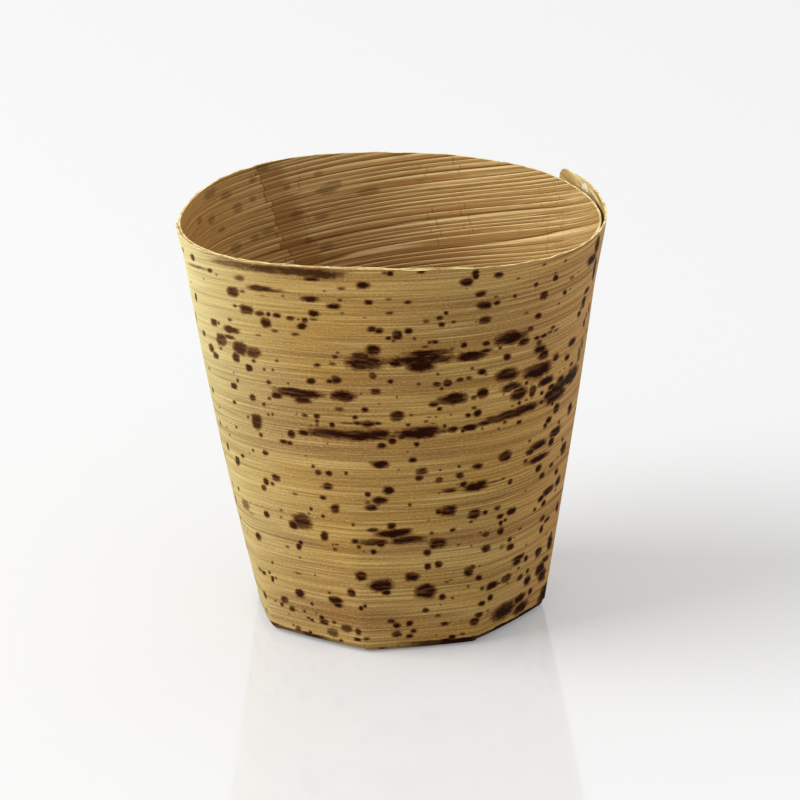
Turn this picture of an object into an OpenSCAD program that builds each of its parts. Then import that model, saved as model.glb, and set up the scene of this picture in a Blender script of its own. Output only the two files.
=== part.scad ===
// Two-ply drinking cup rolled and folded from bamboo culm sheath.
//
// The inner ply is one fan-shaped sheet rolled into a cone. The outer ply is a
// second sheet wound once around it, with a long overlap at the right-hand back.
// Its foot is slit into tabs, and every second tab is folded under first, so the
// cup stands on the other four. A floor disc lies on the tabs inside.
//
// The origin lies in the plane the cup stands on, under the middle of its box. Z is
// up and the side that faces the viewer is -Y. Directions are degrees from +X
// towards +Y, about the middle of the foot.

/* [Cup] */
// Mean diameter of the rim, over the inner ply
rim_d = 71.4; // [60:0.2:90]
// Mean height of the inner ply's rim above the resting plane
cup_h = 69.8; // [50:0.2:90]
// Width of the foot across opposite corners, where the wall meets the fold
foot_d = 50.2; // [44:0.2:60]
// Outward bow of the wall, half way up
wall_bow = 0.5; // [0:0.1:2]
// Direction of one corner of the foot
foot_turn = 31; // [0:1:44]

/* [Rim] */
// Sideways shift of the rim over the foot
rim_shift = 0.2; // [0:0.1:2]
// Direction of that shift
rim_shift_dir = 0; // [-180:5:180]
// Pull of the rim into an oval
rim_oval = 1; // [0:0.1:2.5]
// Direction in which the oval is wide
rim_oval_dir = -76; // [-90:1:90]
// Pull of the rim into a rounded triangle
rim_tri = 0.85; // [0:0.05:2]
// Direction of one point of the triangle
rim_tri_dir = -32; // [-60:1:60]
// Rise of the high side of the rim over its mean
rim_rise = 0.65; // [0:0.05:3]
// Direction of that high side
rim_rise_dir = 162; // [-180:1:180]
// Saddle of the rim, highest less mean
rim_saddle = 0.35; // [0:0.05:2]
// Direction of a high side of the saddle
rim_saddle_dir = 85; // [-90:1:90]
// Slow ripple of the rim, three highs to the turn
rim_ripple = 0.55; // [0:0.05:2]
// Direction of one high of the ripple
rim_ripple_dir = 23; // [-60:1:60]
// Outward bulge of the rim beside the free corner
rim_bulge = 0.6; // [0:0.1:2]
// Direction of the bulge's middle
rim_bulge_dir = -8; // [-60:1:60]
// Angle over which the bulge fades on each side
rim_bulge_a = 60; // [30:5:90]
// Height over which it fades below the rim
rim_bulge_h = 14; // [6:1:30]

/* [Plies] */
// Thickness of the outer ply
wrap_t = 0.35; // [0.25:0.05:0.5]
// Thickness of the inner ply
liner_t = 0.35; // [0.25:0.05:0.5]
// Thickness of each film of glue
glue_t = 0.08; // [0.04:0.02:0.12]
// How far the glue stops short of the rim
glue_drop = 3.5; // [3:0.5:8]

/* [Outer ply] */
// Direction of the end that lies inside
wrap_start = -5; // [-20:1:15]
// Angle by which the outer ply overlaps itself
wrap_lap = 39; // [35:1:60]
// Angle over which it climbs onto its inside end
wrap_climb = 22; // [15:1:40]
// Rise of the free corner above the inner ply's rim
corner_rise = 1.2; // [0:0.1:4]
// Flare of the free corner away from the wall
corner_flare = 0.9; // [0:0.1:3]
// Height of the flared stretch below the rim
flare_h = 12; // [6:1:20]
// Angle of the flared stretch
flare_a = 46; // [30:1:90]

/* [Inner ply] */
// Direction of the end that lies outside
liner_start = 262; // [240:1:280]
// Angle by which the inner ply overlaps itself
liner_lap = 30; // [20:1:40]
// Angle over which it steps in over its own start
liner_climb = 20; // [15:1:40]

/* [Base] */
// Number of tabs that the foot is slit into
tab_n = 8; // [6:2:12]
// Length of a tab from the corners of the foot
tab_l = 13; // [8:0.5:15]
// Width of the slit between two tabs
slit_w = 0.3; // [0.2:0.1:1]
// Outer radius of the fold into the base
fold_r = 1.9; // [1.4:0.1:3]
// Thickness of the floor disc
floor_t = 0.4; // [0.3:0.05:0.6]
// Gap between the floor disc's edge and the fold
floor_clear = 0.4; // [0.2:0.1:1]

/* [Hidden] */

// How far the foot is a true polygon (1) and not a circle (0)
foot_flat_share = 0.8;
// Power with which the flats of the foot fade up the wall
flat_fade = 3;
// Width of a tab's tip against its root
tab_tip_share = 0.9;
// Rim of the outer ply against the inner one: place along the sheet, share of the rise
skew_shares = [[0, -1.2], [0.23, -0.6], [0.46, -0.1], [0.7, 0], [0.88, 0.4], [1, 1]];
// Facets of the surfaces
tab_cols = 9;
wall_rows = 9;
top_rows = 2;
fold_rows = 4;
liner_top_rows = 1;
// Two stations closer than this are one
near_a = 0.35;

half_a = 180 / tab_n;
flat_mid = (1 + cos(half_a)) / 2;
wrap_end = wrap_start + 360 + wrap_lap;
wrap_climb_from = wrap_start + 360 - wrap_climb;
liner_end = liner_start + 360 + liner_lap;
liner_climb_from = liner_start + 360 - liner_climb;
slit_a = asin(slit_w / foot_d);
seam_glue_drop = flare_h + glue_drop;
// Levels of the base, from the ground up
low_z = 0;
high_z = wrap_t + glue_t;
floor_z = high_z + wrap_t + glue_t;
// Past this depth from the wall a tab is flat and may cross its neighbour
cross_d = fold_r + wrap_t;

function clamp01(x) = min(1, max(0, x));
function ease(x) = let (c = clamp01(x)) c * c * (3 - 2 * c);
function posmod(x, m) = x - m * floor(x / m);
function flatten(v) = [for (part = v) each part];
function quad(a, b, c, d) = [[a, b, c], [a, c, d]];
function sorted(v) = len(v) < 2 ? v :
    let (mid = v[floor(len(v) / 2)])
    concat(sorted([for (x = v) if (x < mid) x]), [mid], sorted([for (x = v) if (x > mid) x]));

// The wall: radius of the face between the plies, at a direction and a height
function rim_r(a) = rim_d / 2 + rim_shift * cos(a - rim_shift_dir)
    + rim_oval * cos(2 * (a - rim_oval_dir)) + rim_tri * cos(3 * (a - rim_tri_dir));
function rim_z(a) = cup_h + rim_rise * cos(a - rim_rise_dir)
    + rim_saddle * cos(2 * (a - rim_saddle_dir)) + rim_ripple * cos(3 * (a - rim_ripple_dir));
function bulge(a, z) = rim_bulge
    * ease(1 - abs(posmod(a - rim_bulge_dir + 180, 360) - 180) / rim_bulge_a)
    * ease((z - cup_h + rim_bulge_h) / rim_bulge_h);
function flat_at(a) = cos(half_a) / cos(posmod(a - foot_turn, 2 * half_a) - half_a);
function wall_r(a, z) = let (s = (z - fold_r) / (cup_h - fold_r))
    (1 - s) * foot_d / 2 * (1 - foot_flat_share * (1 - flat_mid)) + s * rim_r(a)
    + foot_d / 2 * foot_flat_share * (flat_at(a) - flat_mid) * pow(max(0, 1 - s), flat_fade)
    + 4 * wall_bow * s * (1 - s) + bulge(a, z);
function wall_pt(a, z, off) = let (r = wall_r(a, z) + off) [r * cos(a), r * sin(a), z];

// Stations around the cup, the same for every ply, so that faces that touch fit
seams = [wrap_start, wrap_end, wrap_climb_from, liner_start, liner_end, liner_climb_from];
function turns_of(a, from, to) = [for (t = [ceil((from - a) / 360) : floor((to - a) / 360)])
    a + 360 * t];
function near_seam(a) = min([for (s = seams) abs(posmod(a - s + 180, 360) - 180)]) < near_a;
function grid_of(c) = [c + slit_a, each [for (k = [1 : tab_cols - 1])
    let (a = c + k * 2 * half_a / tab_cols) if (!near_seam(a)) a], c + 2 * half_a - slit_a];
function stations(from, to) = sorted([from, to,
    each [for (k = [floor((from - foot_turn) / 2 / half_a) : ceil((to - foot_turn) / 2 / half_a)])
        each [for (a = grid_of(foot_turn + k * 2 * half_a))
            if (a > from + near_a && a < to - near_a) a]],
    each [for (s = seams) each [for (a = turns_of(s, from, to))
        if (a > from + near_a && a < to - near_a) a]]]);

// Heights of the rows: shared up to the top of the glue, then each ply's own
function glue_top(a) = rim_z(a) - glue_drop;
function row_z(a, k) = fold_r + (glue_top(a) - fold_r) * k / wall_rows;
function rows_to(a, top, n) = [each [for (k = [0 : wall_rows]) row_z(a, k)],
    each [for (k = [1 : n]) glue_top(a) + (top - glue_top(a)) * k / n]];

// A sheet between two grids of points, one list of rows to each station
function sheet_faces(n, m, tabs = []) = let (
    o = function (i, k) i * m + k,
    q = function (i, k) (n + i) * m + k,
    tabbed = function (i) len([for (t = tabs) if (i >= t[0] && i < t[1]) 1]) > 0)
    concat(
        [for (i = [0 : n - 2], k = [0 : m - 2])
            each quad(o(i, k), o(i, k + 1), o(i + 1, k + 1), o(i + 1, k))],
        [for (i = [0 : n - 2], k = [0 : m - 2])
            each quad(q(i, k), q(i + 1, k), q(i + 1, k + 1), q(i, k + 1))],
        [for (i = [0 : n - 2])
            each quad(o(i, m - 1), q(i, m - 1), q(i + 1, m - 1), o(i + 1, m - 1))],
        [for (i = [0 : n - 2]) if (!tabbed(i))
            each quad(o(i, 0), o(i + 1, 0), q(i + 1, 0), q(i, 0))],
        [for (k = [0 : m - 2]) each quad(q(0, k), q(0, k + 1), o(0, k + 1), o(0, k))],
        [for (k = [0 : m - 2])
            each quad(o(n - 1, k), o(n - 1, k + 1), q(n - 1, k + 1), q(n - 1, k))]);

module sheet(outer, inner) {
    centred() polyhedron(points = concat(flatten(outer), flatten(inner)),
        faces = sheet_faces(len(outer), len(outer[0])), convexity = 8);
}

// The outer ply: how far its inside face stands off the inner ply
function wrap_off(a, z) = glue_t
    + (wrap_t + glue_t) * ease((a - wrap_climb_from) / wrap_climb)
    + corner_flare * ease((a - wrap_end + flare_a) / flare_a)
        * ease((z - cup_h + flare_h) / flare_h);
function wrap_rim(a) = rim_z(a)
    + corner_rise * lookup((a - wrap_start) / (wrap_end - wrap_start), skew_shares);

wrap_at = stations(wrap_start, wrap_end);
wrap_outer = [for (a = wrap_at) [for (z = rows_to(a, wrap_rim(a), top_rows))
    wall_pt(a, z, wrap_off(a, z) + wrap_t)]];
wrap_inner = [for (a = wrap_at) [for (z = rows_to(a, wrap_rim(a), top_rows))
    wall_pt(a, z, wrap_off(a, z))]];

// The middle of the cup's box, which the free corner and the uneven rim pull off
// the middle of the foot
function middle_of(v) = (min(v) + max(v)) / 2;
middle = [for (axis = [0, 1]) middle_of([for (p = flatten(wrap_outer)) p[axis]])];
module centred() {
    translate([-middle[0], -middle[1], 0]) children();
}

// The tabs: columns of the outer ply between two slits, and their two levels
first_corner = foot_turn + 2 * half_a * ceil((wrap_start - foot_turn) / 2 / half_a);
function tab_mid(m) = first_corner + (2 * m + 1) * half_a;
function tab_low(m) = m % 2 == 1;
function tab_z(m) = tab_low(m) ? low_z : high_z;
function tab_cols_of(m) = let (js = [for (i = [0 : len(wrap_at) - 1])
    if (abs(wrap_at[i] - tab_mid(m)) < half_a - slit_a / 2) i]) [js[0], js[len(js) - 1]];
tabs = [for (m = [0 : tab_n - 1]) tab_cols_of(m)];

foot_in = foot_d / 2 * cos(half_a);
tip_v = foot_in - tab_l;
function room(d) = (foot_in - d) * tan(half_a) - slit_w / 2;
tip_w = min(room(cross_d) * tab_tip_share, tip_v * tan(2 * half_a) - slit_w / 2);
// A point of a tab from its distance out along the tab's middle and across it
function tab_pt(m, v, u, z) = let (c = tab_mid(m))
    [v * cos(c) - u * sin(c), v * sin(c) + u * cos(c), z];
function tab_v(m, p) = p[0] * cos(tab_mid(m)) + p[1] * sin(tab_mid(m));
function tab_u(m, p) = p[1] * cos(tab_mid(m)) - p[0] * sin(tab_mid(m));
// One column of a tab: round the fold, then flat to where it may cross, then the tip
function tab_column(m, p, flat_p, r, z) = let (v = tab_v(m, p), u = tab_u(m, p),
    fv = tab_v(m, flat_p), fu = tab_u(m, flat_p))
    [each [for (k = [1 : fold_rows]) let (b = 90 * k / fold_rows, d = r * (1 - cos(b)))
            tab_pt(m, v - d, u * room(d) / room(0), fold_r - r * sin(b))],
     tab_pt(m, fv - cross_d, fu * room(cross_d) / room(0), z),
     tab_pt(m, tip_v, fu * tip_w / room(0), z)];
tab_rows = fold_rows + 2;
tab_outer = [for (m = [0 : tab_n - 1]) [for (i = [tabs[m][0] : tabs[m][1]])
    each tab_column(m, wrap_outer[i][0], wrap_outer[i][0], fold_r - tab_z(m), tab_z(m))]];
tab_inner = [for (m = [0 : tab_n - 1]) [for (i = [tabs[m][0] : tabs[m][1]])
    each tab_column(m, wrap_inner[i][0], wrap_outer[i][0], fold_r - tab_z(m) - wrap_t,
        tab_z(m) + wrap_t)]];
function count_to(m) = m == 0 ? 0 : count_to(m - 1) + len(tab_outer[m - 1]);

function tab_faces(m, n, rows, first) = let (
    c0 = tabs[m][0], c1 = tabs[m][1], size = len(tab_outer[m]),
    at = first + 2 * count_to(m),
    so = function (i, k) k == 0 ? i * rows : at + (i - c0) * tab_rows + k - 1,
    si = function (i, k) k == 0 ? (n + i) * rows : at + size + (i - c0) * tab_rows + k - 1)
    concat(
        [for (i = [c0 : c1 - 1], k = [0 : tab_rows - 1])
            each quad(so(i, k + 1), so(i, k), so(i + 1, k), so(i + 1, k + 1))],
        [for (i = [c0 : c1 - 1], k = [0 : tab_rows - 1])
            each quad(si(i, k + 1), si(i + 1, k + 1), si(i + 1, k), si(i, k))],
        [for (k = [0 : tab_rows - 1])
            each quad(si(c0, k + 1), si(c0, k), so(c0, k), so(c0, k + 1))],
        [for (k = [0 : tab_rows - 1])
            each quad(so(c1, k + 1), so(c1, k), si(c1, k), si(c1, k + 1))],
        [for (i = [c0 : c1 - 1])
            each quad(so(i, tab_rows), so(i + 1, tab_rows), si(i + 1, tab_rows),
                si(i, tab_rows))]);

module outer_wrap() {
    n = len(wrap_outer);
    rows = len(wrap_outer[0]);
    color([0.78, 0.65, 0.42])
    centred() polyhedron(
        points = concat(flatten(wrap_outer), flatten(wrap_inner),
            [for (m = [0 : tab_n - 1]) each concat(tab_outer[m], tab_inner[m])]),
        faces = concat(sheet_faces(n, rows, tabs),
            [for (m = [0 : tab_n - 1]) each tab_faces(m, n, rows, 2 * n * rows)]),
        convexity = 10);
}

// The inner ply: its last stretch steps in over its own start
function liner_off(a) = -(liner_t + glue_t) * ease((a - liner_climb_from) / liner_climb);
liner_at = stations(liner_start, liner_end);
module inner_liner() {
    color([0.72, 0.57, 0.36])
    sheet([for (a = liner_at) [for (z = rows_to(a, rim_z(a), liner_top_rows))
              wall_pt(a, z, liner_off(a))]],
          [for (a = liner_at) [for (z = rows_to(a, rim_z(a), liner_top_rows))
              wall_pt(a, z, liner_off(a) - liner_t)]]);
}

// Outline of the floor, inside the fold
floor_outline = [for (a = stations(wrap_start, wrap_start + 360 - 2 * near_a))
    let (r = wall_r(a, fold_r) - fold_r - floor_clear) [r * cos(a), r * sin(a)]];
module floor_disc() {
    color([0.76, 0.62, 0.4])
    centred() translate([0, 0, floor_z]) linear_extrude(floor_t) polygon(floor_outline);
}

// A film of glue on the faces it joins
module film(at, low, high, top) {
    color([0.62, 0.5, 0.32])
    sheet([for (a = at) [for (k = [0 : top]) wall_pt(a, row_z(a, k), high)]],
          [for (a = at) [for (k = [0 : top]) wall_pt(a, row_z(a, k), low)]]);
}
module ply_glue() {
    film(stations(wrap_start, wrap_climb_from), 0, glue_t, wall_rows);
}
// The rows of the seam's film end below the stretch that flares
seam_rows = min([for (k = [1 : wall_rows])
    if (row_z(wrap_start, k) > cup_h - seam_glue_drop) k]) - 1;
module wrap_seam_glue() {
    film(stations(wrap_start, wrap_end - 360), glue_t + wrap_t, 2 * glue_t + wrap_t, seam_rows);
}
module liner_seam_glue() {
    film(stations(liner_start, liner_end - 360), -liner_t - glue_t, -liner_t, wall_rows);
}

module tab_outline(m) {
    grid = tab_outer[m];
    cols = len(grid) / tab_rows;
    edge = [for (i = [0 : cols - 1]) grid[i * tab_rows + fold_rows]];
    tip = [for (i = [cols - 1 : -1 : 0]) grid[i * tab_rows + fold_rows + 1]];
    polygon([for (p = concat(edge, tip)) [p[0], p[1]]]);
}
module tabs_of(low) {
    for (m = [0 : tab_n - 1]) if (tab_low(m) == low) tab_outline(m);
}
module tab_glue() {
    color([0.62, 0.5, 0.32])
    centred() translate([0, 0, low_z + wrap_t]) linear_extrude(glue_t)
        intersection() { tabs_of(true); tabs_of(false); }
}
module floor_glue() {
    color([0.62, 0.5, 0.32])
    centred() translate([0, 0, high_z + wrap_t]) linear_extrude(glue_t)
        intersection() { tabs_of(false); polygon(floor_outline); }
}

outer_wrap();
inner_liner();
floor_disc();
ply_glue();
wrap_seam_glue();
liner_seam_glue();
tab_glue();
floor_glue();
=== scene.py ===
# %% [markdown]
# # A cup rolled from bamboo sheath
#
# A young bamboo culm is wrapped in dry, papery sheaths. They are smooth and
# spotted outside, and ribbed inside. This cup is made of two of them: one rolled
# into a plain cone, and one wound around it and folded under into a foot. The
# lesson cuts each sheet flat, rolls it with Geometry Nodes, and then gives it the
# finish of the real leaf.
#
# First the packed model is loaded. Its solids say where each piece belongs, and
# they stay in the scene.

# %% The frame
import math
from types import SimpleNamespace

import bpy
import numpy as np
from mathutils import Matrix, Vector


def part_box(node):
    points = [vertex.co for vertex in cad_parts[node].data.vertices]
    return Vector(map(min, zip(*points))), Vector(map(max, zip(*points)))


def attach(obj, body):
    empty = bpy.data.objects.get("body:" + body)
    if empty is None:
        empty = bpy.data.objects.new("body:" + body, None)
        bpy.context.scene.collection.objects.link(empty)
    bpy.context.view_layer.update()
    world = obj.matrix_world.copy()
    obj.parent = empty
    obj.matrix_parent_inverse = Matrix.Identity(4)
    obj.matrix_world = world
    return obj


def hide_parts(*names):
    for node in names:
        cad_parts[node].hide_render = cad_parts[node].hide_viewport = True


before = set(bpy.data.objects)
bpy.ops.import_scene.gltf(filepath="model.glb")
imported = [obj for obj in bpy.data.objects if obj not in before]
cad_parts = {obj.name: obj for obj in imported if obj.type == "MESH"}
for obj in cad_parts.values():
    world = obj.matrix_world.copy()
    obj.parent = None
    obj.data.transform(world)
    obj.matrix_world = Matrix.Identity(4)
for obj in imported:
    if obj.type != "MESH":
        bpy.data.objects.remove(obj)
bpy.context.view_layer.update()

# %% [markdown]
# ## Node trees written as sums
#
# Materials and Geometry Nodes both work with number wires. Dozens of Math nodes
# placed one by one are hard to read, so a small class wraps an output socket and
# overloads the operators: `1 - mask` adds its own Subtract node. Every other node
# comes from `node`, which sets the node's settings first and then fills its
# sockets with values or wires.

# %% Wires
class Wire:
    """An output socket that Python can reckon with."""

    def __init__(self, tree, socket):
        self.tree = tree
        self.socket = socket

    def math(self, operation, *others):
        return node(self.tree, "ShaderNodeMath", {"operation": operation}, [self, *others])

    def __add__(self, other):
        return self.math("ADD", other)

    def __sub__(self, other):
        return self.math("SUBTRACT", other)

    def __mul__(self, other):
        return self.math("MULTIPLY", other)

    def __truediv__(self, other):
        return self.math("DIVIDE", other)

    def __pow__(self, other):
        return self.math("POWER", other)

    def __abs__(self):
        return self.math("ABSOLUTE")

    def __rsub__(self, other):
        return node(self.tree, "ShaderNodeMath", {"operation": "SUBTRACT"}, [other, self])

    def __rtruediv__(self, other):
        return node(self.tree, "ShaderNodeMath", {"operation": "DIVIDE"}, [other, self])

    __radd__ = __add__
    __rmul__ = __mul__

    def clamped(self):
        return node(self.tree, "ShaderNodeClamp", {}, [self, 0.0, 1.0])

    def parts(self):
        split = node(self.tree, "ShaderNodeSeparateXYZ", {}, [self]).socket.node
        return [Wire(self.tree, out) for out in split.outputs]


def node(tree, kind, settings=None, inputs=None, out=0):
    """Add a node: its settings, then the values or wires of its sockets."""
    made = tree.nodes.new(kind)
    for name, value in (settings or {}).items():
        setattr(made, name, value)
    pairs = inputs.items() if isinstance(inputs, dict) else enumerate(inputs or [])
    for key, value in pairs:
        if isinstance(value, Wire):
            tree.links.new(value.socket, made.inputs[key])
        else:
            made.inputs[key].default_value = value
    return Wire(tree, made.outputs[out] if made.outputs else None)


def vector(tree, x, y, z=0.0):
    return node(tree, "ShaderNodeCombineXYZ", {}, [x, y, z])


def noise(at, x_scale, y_scale, detail=2.0, roughness=0.5, seed=0.0):
    """Smooth noise from 0 to 1 on a flat sheet; at is (x, y) in millimetres."""
    x, y = at
    place = vector(x.tree, x * x_scale, y * y_scale, seed)
    return node(x.tree, "ShaderNodeTexNoise", {}, {
        "Vector": place, "Scale": 1.0, "Detail": detail, "Roughness": roughness})


# %% [markdown]
# ## One rule for the wall
#
# Both sheets follow the same wall: a cone that is an octagon at the foot, where it
# is folded, and a slightly uneven oval at the rim. The rule gives the wall's
# radius at a direction and a height. It is written once, in operators that numbers
# and wires share, so the same lines place a spot in Python and roll a sheet in
# Geometry Nodes. Lengths are in millimetres and directions in degrees from +X
# towards +Y, as in the CAD model. The octagon's corners are rounded a little here,
# as a leaf that is folded over a form keeps a soft corner.

# %% The wall
MM = 0.001

CUP = SimpleNamespace(
    rim_diameter=71.4, height=69.8, foot_width=50.2, bow=0.5, foot_turn=31.0,
    rim_shift=0.2, rim_oval=1.0, rim_oval_turn=-76.0, rim_tri=0.85, rim_tri_turn=-32.0,
    bulge=0.6, bulge_turn=-8.0, bulge_spread=60.0, bulge_height=14.0,
    lip=0.42, lip_turn=190.0, lip_spread=34.0, lip_height=7.0,
    ply=0.35, glue=0.08, fold=1.9,
    wrap_from=-5.0, wrap_to=394.0, wrap_climb=22.0, flare=0.9, flare_height=12.0,
    flare_turn=46.0, liner_from=262.0, liner_to=652.0, liner_climb=20.0)
TAB_COUNT = 8
HALF_TAB = 180 / TAB_COUNT
FLAT_SHARE = 0.8
FLAT_MID = (1 + math.cos(math.radians(HALF_TAB))) / 2
FLAT_FADE = 3.0
CORNER_POWER = 14


def cosd(angle):
    """Cosine of degrees, for numbers and for wires."""
    if isinstance(angle, Wire):
        return (angle * math.radians(1)).math("COSINE")
    return np.cos(np.radians(angle))


def ease(x):
    """0 below 0, 1 above 1 and a smooth step between."""
    x = x.clamped() if isinstance(x, Wire) else np.clip(x, 0, 1)
    return x * x * (3 - 2 * x)


def turned(angle, whole):
    """The rest of angle after whole turns."""
    if isinstance(angle, Wire):
        return angle.math("FLOORED_MODULO", whole)
    return np.mod(angle, whole)


def away_from(a, turn):
    """The angle between two directions, either way round."""
    return abs(turned(a - turn + 180, 360) - 180)


def beside(a, turn, spread):
    """1 in a direction and 0 from a spread aside of it."""
    return ease(1 - away_from(a, turn) / spread)


def near_rim(cup, z, depth):
    """1 at the rim's height and 0 from a depth below it."""
    return ease((z - cup.height + depth) / depth)


def rim_radius(cup, a):
    """Radius at the rim, which is a little oval and three-cornered."""
    return (cup.rim_diameter / 2 + cup.rim_shift * cosd(a)
            + cup.rim_oval * cosd(2 * (a - cup.rim_oval_turn))
            + cup.rim_tri * cosd(3 * (a - cup.rim_tri_turn)))


def wall_radius(cup, a, z):
    """Radius of the face between the two plies."""
    share = (z - cup.fold) / (cup.height - cup.fold)
    aside = turned(a - cup.foot_turn, 2 * HALF_TAB) - HALF_TAB
    aside = aside * (1 - abs(aside / HALF_TAB) ** CORNER_POWER / (CORNER_POWER + 1))
    flat = math.cos(math.radians(HALF_TAB)) / cosd(aside)
    foot = cup.foot_width / 2
    low = 1 - share
    low = low.clamped() if isinstance(low, Wire) else np.clip(low, 0, 1)
    bulge = (cup.bulge * beside(a, cup.bulge_turn, cup.bulge_spread)
             * near_rim(cup, z, cup.bulge_height))
    lip = cup.lip * beside(a, cup.lip_turn, cup.lip_spread) * near_rim(cup, z, cup.lip_height)
    cone = (1 - share) * (foot * (1 - FLAT_SHARE * (1 - FLAT_MID))) + share * rim_radius(cup, a)
    return (cone + foot * FLAT_SHARE * (flat - FLAT_MID) * low ** FLAT_FADE
            + 4 * cup.bow * share * (1 - share) + bulge + lip)


def wrap_standoff(cup, a, z):
    """How far the outer ply's inside face stands off that face."""
    start = cup.wrap_from + 360 - cup.wrap_climb
    flare = (cup.flare * ease((a - cup.wrap_to + cup.flare_turn) / cup.flare_turn)
             * near_rim(cup, z, cup.flare_height))
    return cup.glue + (cup.ply + cup.glue) * ease((a - start) / cup.wrap_climb) + flare


def liner_standoff(cup, a, z):
    """The inner ply steps in where its end lies over its own start."""
    start = cup.liner_from + 360 - cup.liner_climb
    return -1.0 * (cup.ply + cup.glue) * ease((a - start) / cup.liner_climb)


print("rim radius, mm:", np.round(rim_radius(CUP, np.array([0, 90, 180, 270])), 2))

# %% [markdown]
# ## The sheet laid flat
#
# A sheet of leaf has straight fibres, and a cone unrolls into a fan. So a point of
# the cup also has a place on the flat leaf: `x` runs along the fibres and `y`
# across them. Spots, streaks and ribs are all drawn there, which is why they
# slant towards the ends of the real sheet. A fan has the direction where its
# fibres are level, and their bend, as the veins of a sheath spread from its foot.
# The skew makes one side bend more than the other, and beyond its straight part a
# fibre runs on without bending.

# %% The flat leaf
FOOT_RADIUS = CUP.foot_width / 2 * (1 - FLAT_SHARE * (1 - FLAT_MID))
SLOPE = (CUP.rim_diameter / 2 - FOOT_RADIUS) / (CUP.height - CUP.fold)
FAN_SINE = math.sin(math.atan(SLOPE))
WRAP_FAN = SimpleNamespace(turn=273.5, bend=0.003, skew=2.2e-5, straight=-58.0)
LINER_FAN = SimpleNamespace(turn=512.0, bend=0.003, skew=0.0, straight=-8.0)


def bent(x, fan):
    """How far a fibre lies aside of a straight one."""
    low = fan.straight
    near = x.math("MAXIMUM", low) if isinstance(x, Wire) else np.maximum(x, low)
    slope = low * (2 * fan.bend - 3 * low * fan.skew)
    return near * near * (fan.bend - near * fan.skew) + (x - near) * slope


def unrolled(a, z, fan):
    """(x, y) on the flat leaf, from a direction and a height."""
    reach = (FOOT_RADIUS + (z - CUP.fold) * SLOPE) / FAN_SINE
    opening = (a - fan.turn) * FAN_SINE
    x = reach * cosd(opening - 90)
    return x, reach * cosd(opening) + bent(x, fan)


print("cone's half angle, degrees:", round(math.degrees(math.atan(SLOPE)), 2))

# %% [markdown]
# ## The camera
#
# The cup is seen from a little above. The camera is far away with a long lens, as
# in a product picture, and turned a little about its own axis. The sizes are read
# off the image, which is 800 pixels wide.

# %% The camera
IMAGE = 800
FOCAL = 4500.0
SENSOR = 36.0
ELEVATION = math.radians(18.61)
ROLL = math.radians(1.67)
DISTANCE = 765.9
TARGET_HEIGHT = 35.29
TARGET_PIXEL = (393.7, 406.0)

foot_low, foot_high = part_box("floor_disc")
foot_middle = (foot_low + foot_high) / 2 / MM
target = Vector((foot_middle.x, foot_middle.y, TARGET_HEIGHT))
level = Vector((1, 0, 0))
ahead = Vector((0, math.cos(ELEVATION), -math.sin(ELEVATION)))
above = level.cross(ahead)
eye = target - ahead * DISTANCE
right = level * math.cos(ROLL) - above * math.sin(ROLL)
up = level * math.sin(ROLL) + above * math.cos(ROLL)
aim = (target + right * (IMAGE / 2 - TARGET_PIXEL[0]) / FOCAL * DISTANCE
       + up * (TARGET_PIXEL[1] - IMAGE / 2) / FOCAL * DISTANCE)
ahead = (aim - eye).normalized()
right = ahead.cross(up).normalized()
up = right.cross(ahead)

camera_data = bpy.data.cameras.new("camera")
camera_data.sensor_width = SENSOR
camera_data.lens = FOCAL * SENSOR / IMAGE
camera = bpy.data.objects.new("camera", camera_data)
bpy.context.scene.collection.objects.link(camera)
turned_to = Matrix((right, up, -ahead)).transposed().to_4x4()
camera.matrix_world = Matrix.Translation(eye * MM) @ turned_to
bpy.context.scene.camera = camera
print("camera at, mm:", [round(x, 1) for x in eye], "lens, mm:", camera_data.lens)

# %% [markdown]
# ## Light, floor and background
#
# One large soft lamp stands to the left, a little in front and above, and the
# world fills the shadows. Their strengths are set so that a pale card facing the
# camera renders about as its colour is written. The floor is a pale glossy table.
# Its extra whiteness is only for the camera, so it adds no light to the cup. It lies
# a hair below the cup's foot, so that no two faces coincide. The lamp and the table
# are measured in metres.

# %% Light
WHITE = (1, 1, 1, 1)
WORLD_LIGHT = 0.78
KEY_TURN = 190.0
KEY_RISE = 38.0
KEY_AWAY = 2.0
KEY_SIZE = 1.7
KEY_LIGHT = 1.15


def colour(red, green, blue):
    """A colour as it is seen on a screen, 0 to 255, as the numbers that nodes use."""
    shares = [c / 255 for c in (red, green, blue)]
    return (*[s / 12.92 if s <= 0.04045 else ((s + 0.055) / 1.055) ** 2.4 for s in shares], 1.0)


def mixed(factor, a, b):
    """One colour over another: a where the factor is 0, b where it is 1."""
    return node(factor.tree, "ShaderNodeMix", {"data_type": "RGBA"}, {0: factor, 6: a, 7: b}, out=2)


def seen_directly(tree):
    """1 for rays from the camera, also by way of a mirror or glass."""
    path = node(tree, "ShaderNodeLightPath").socket.node
    first, *others = [Wire(tree, path.outputs[f"Is {kind} Ray"])
                      for kind in ("Camera", "Glossy", "Transmission")]
    for other in others:
        first = first.math("MAXIMUM", other)
    return first


world = bpy.data.worlds.new("studio")
bpy.context.scene.world = world
world.use_nodes = True
air = world.node_tree
air.nodes.clear()
seen = seen_directly(air)
shine = node(air, "ShaderNodeBackground", {}, [WHITE, seen + (1 - seen) * WORLD_LIGHT])
node(air, "ShaderNodeOutputWorld", {}, [shine])

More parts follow.
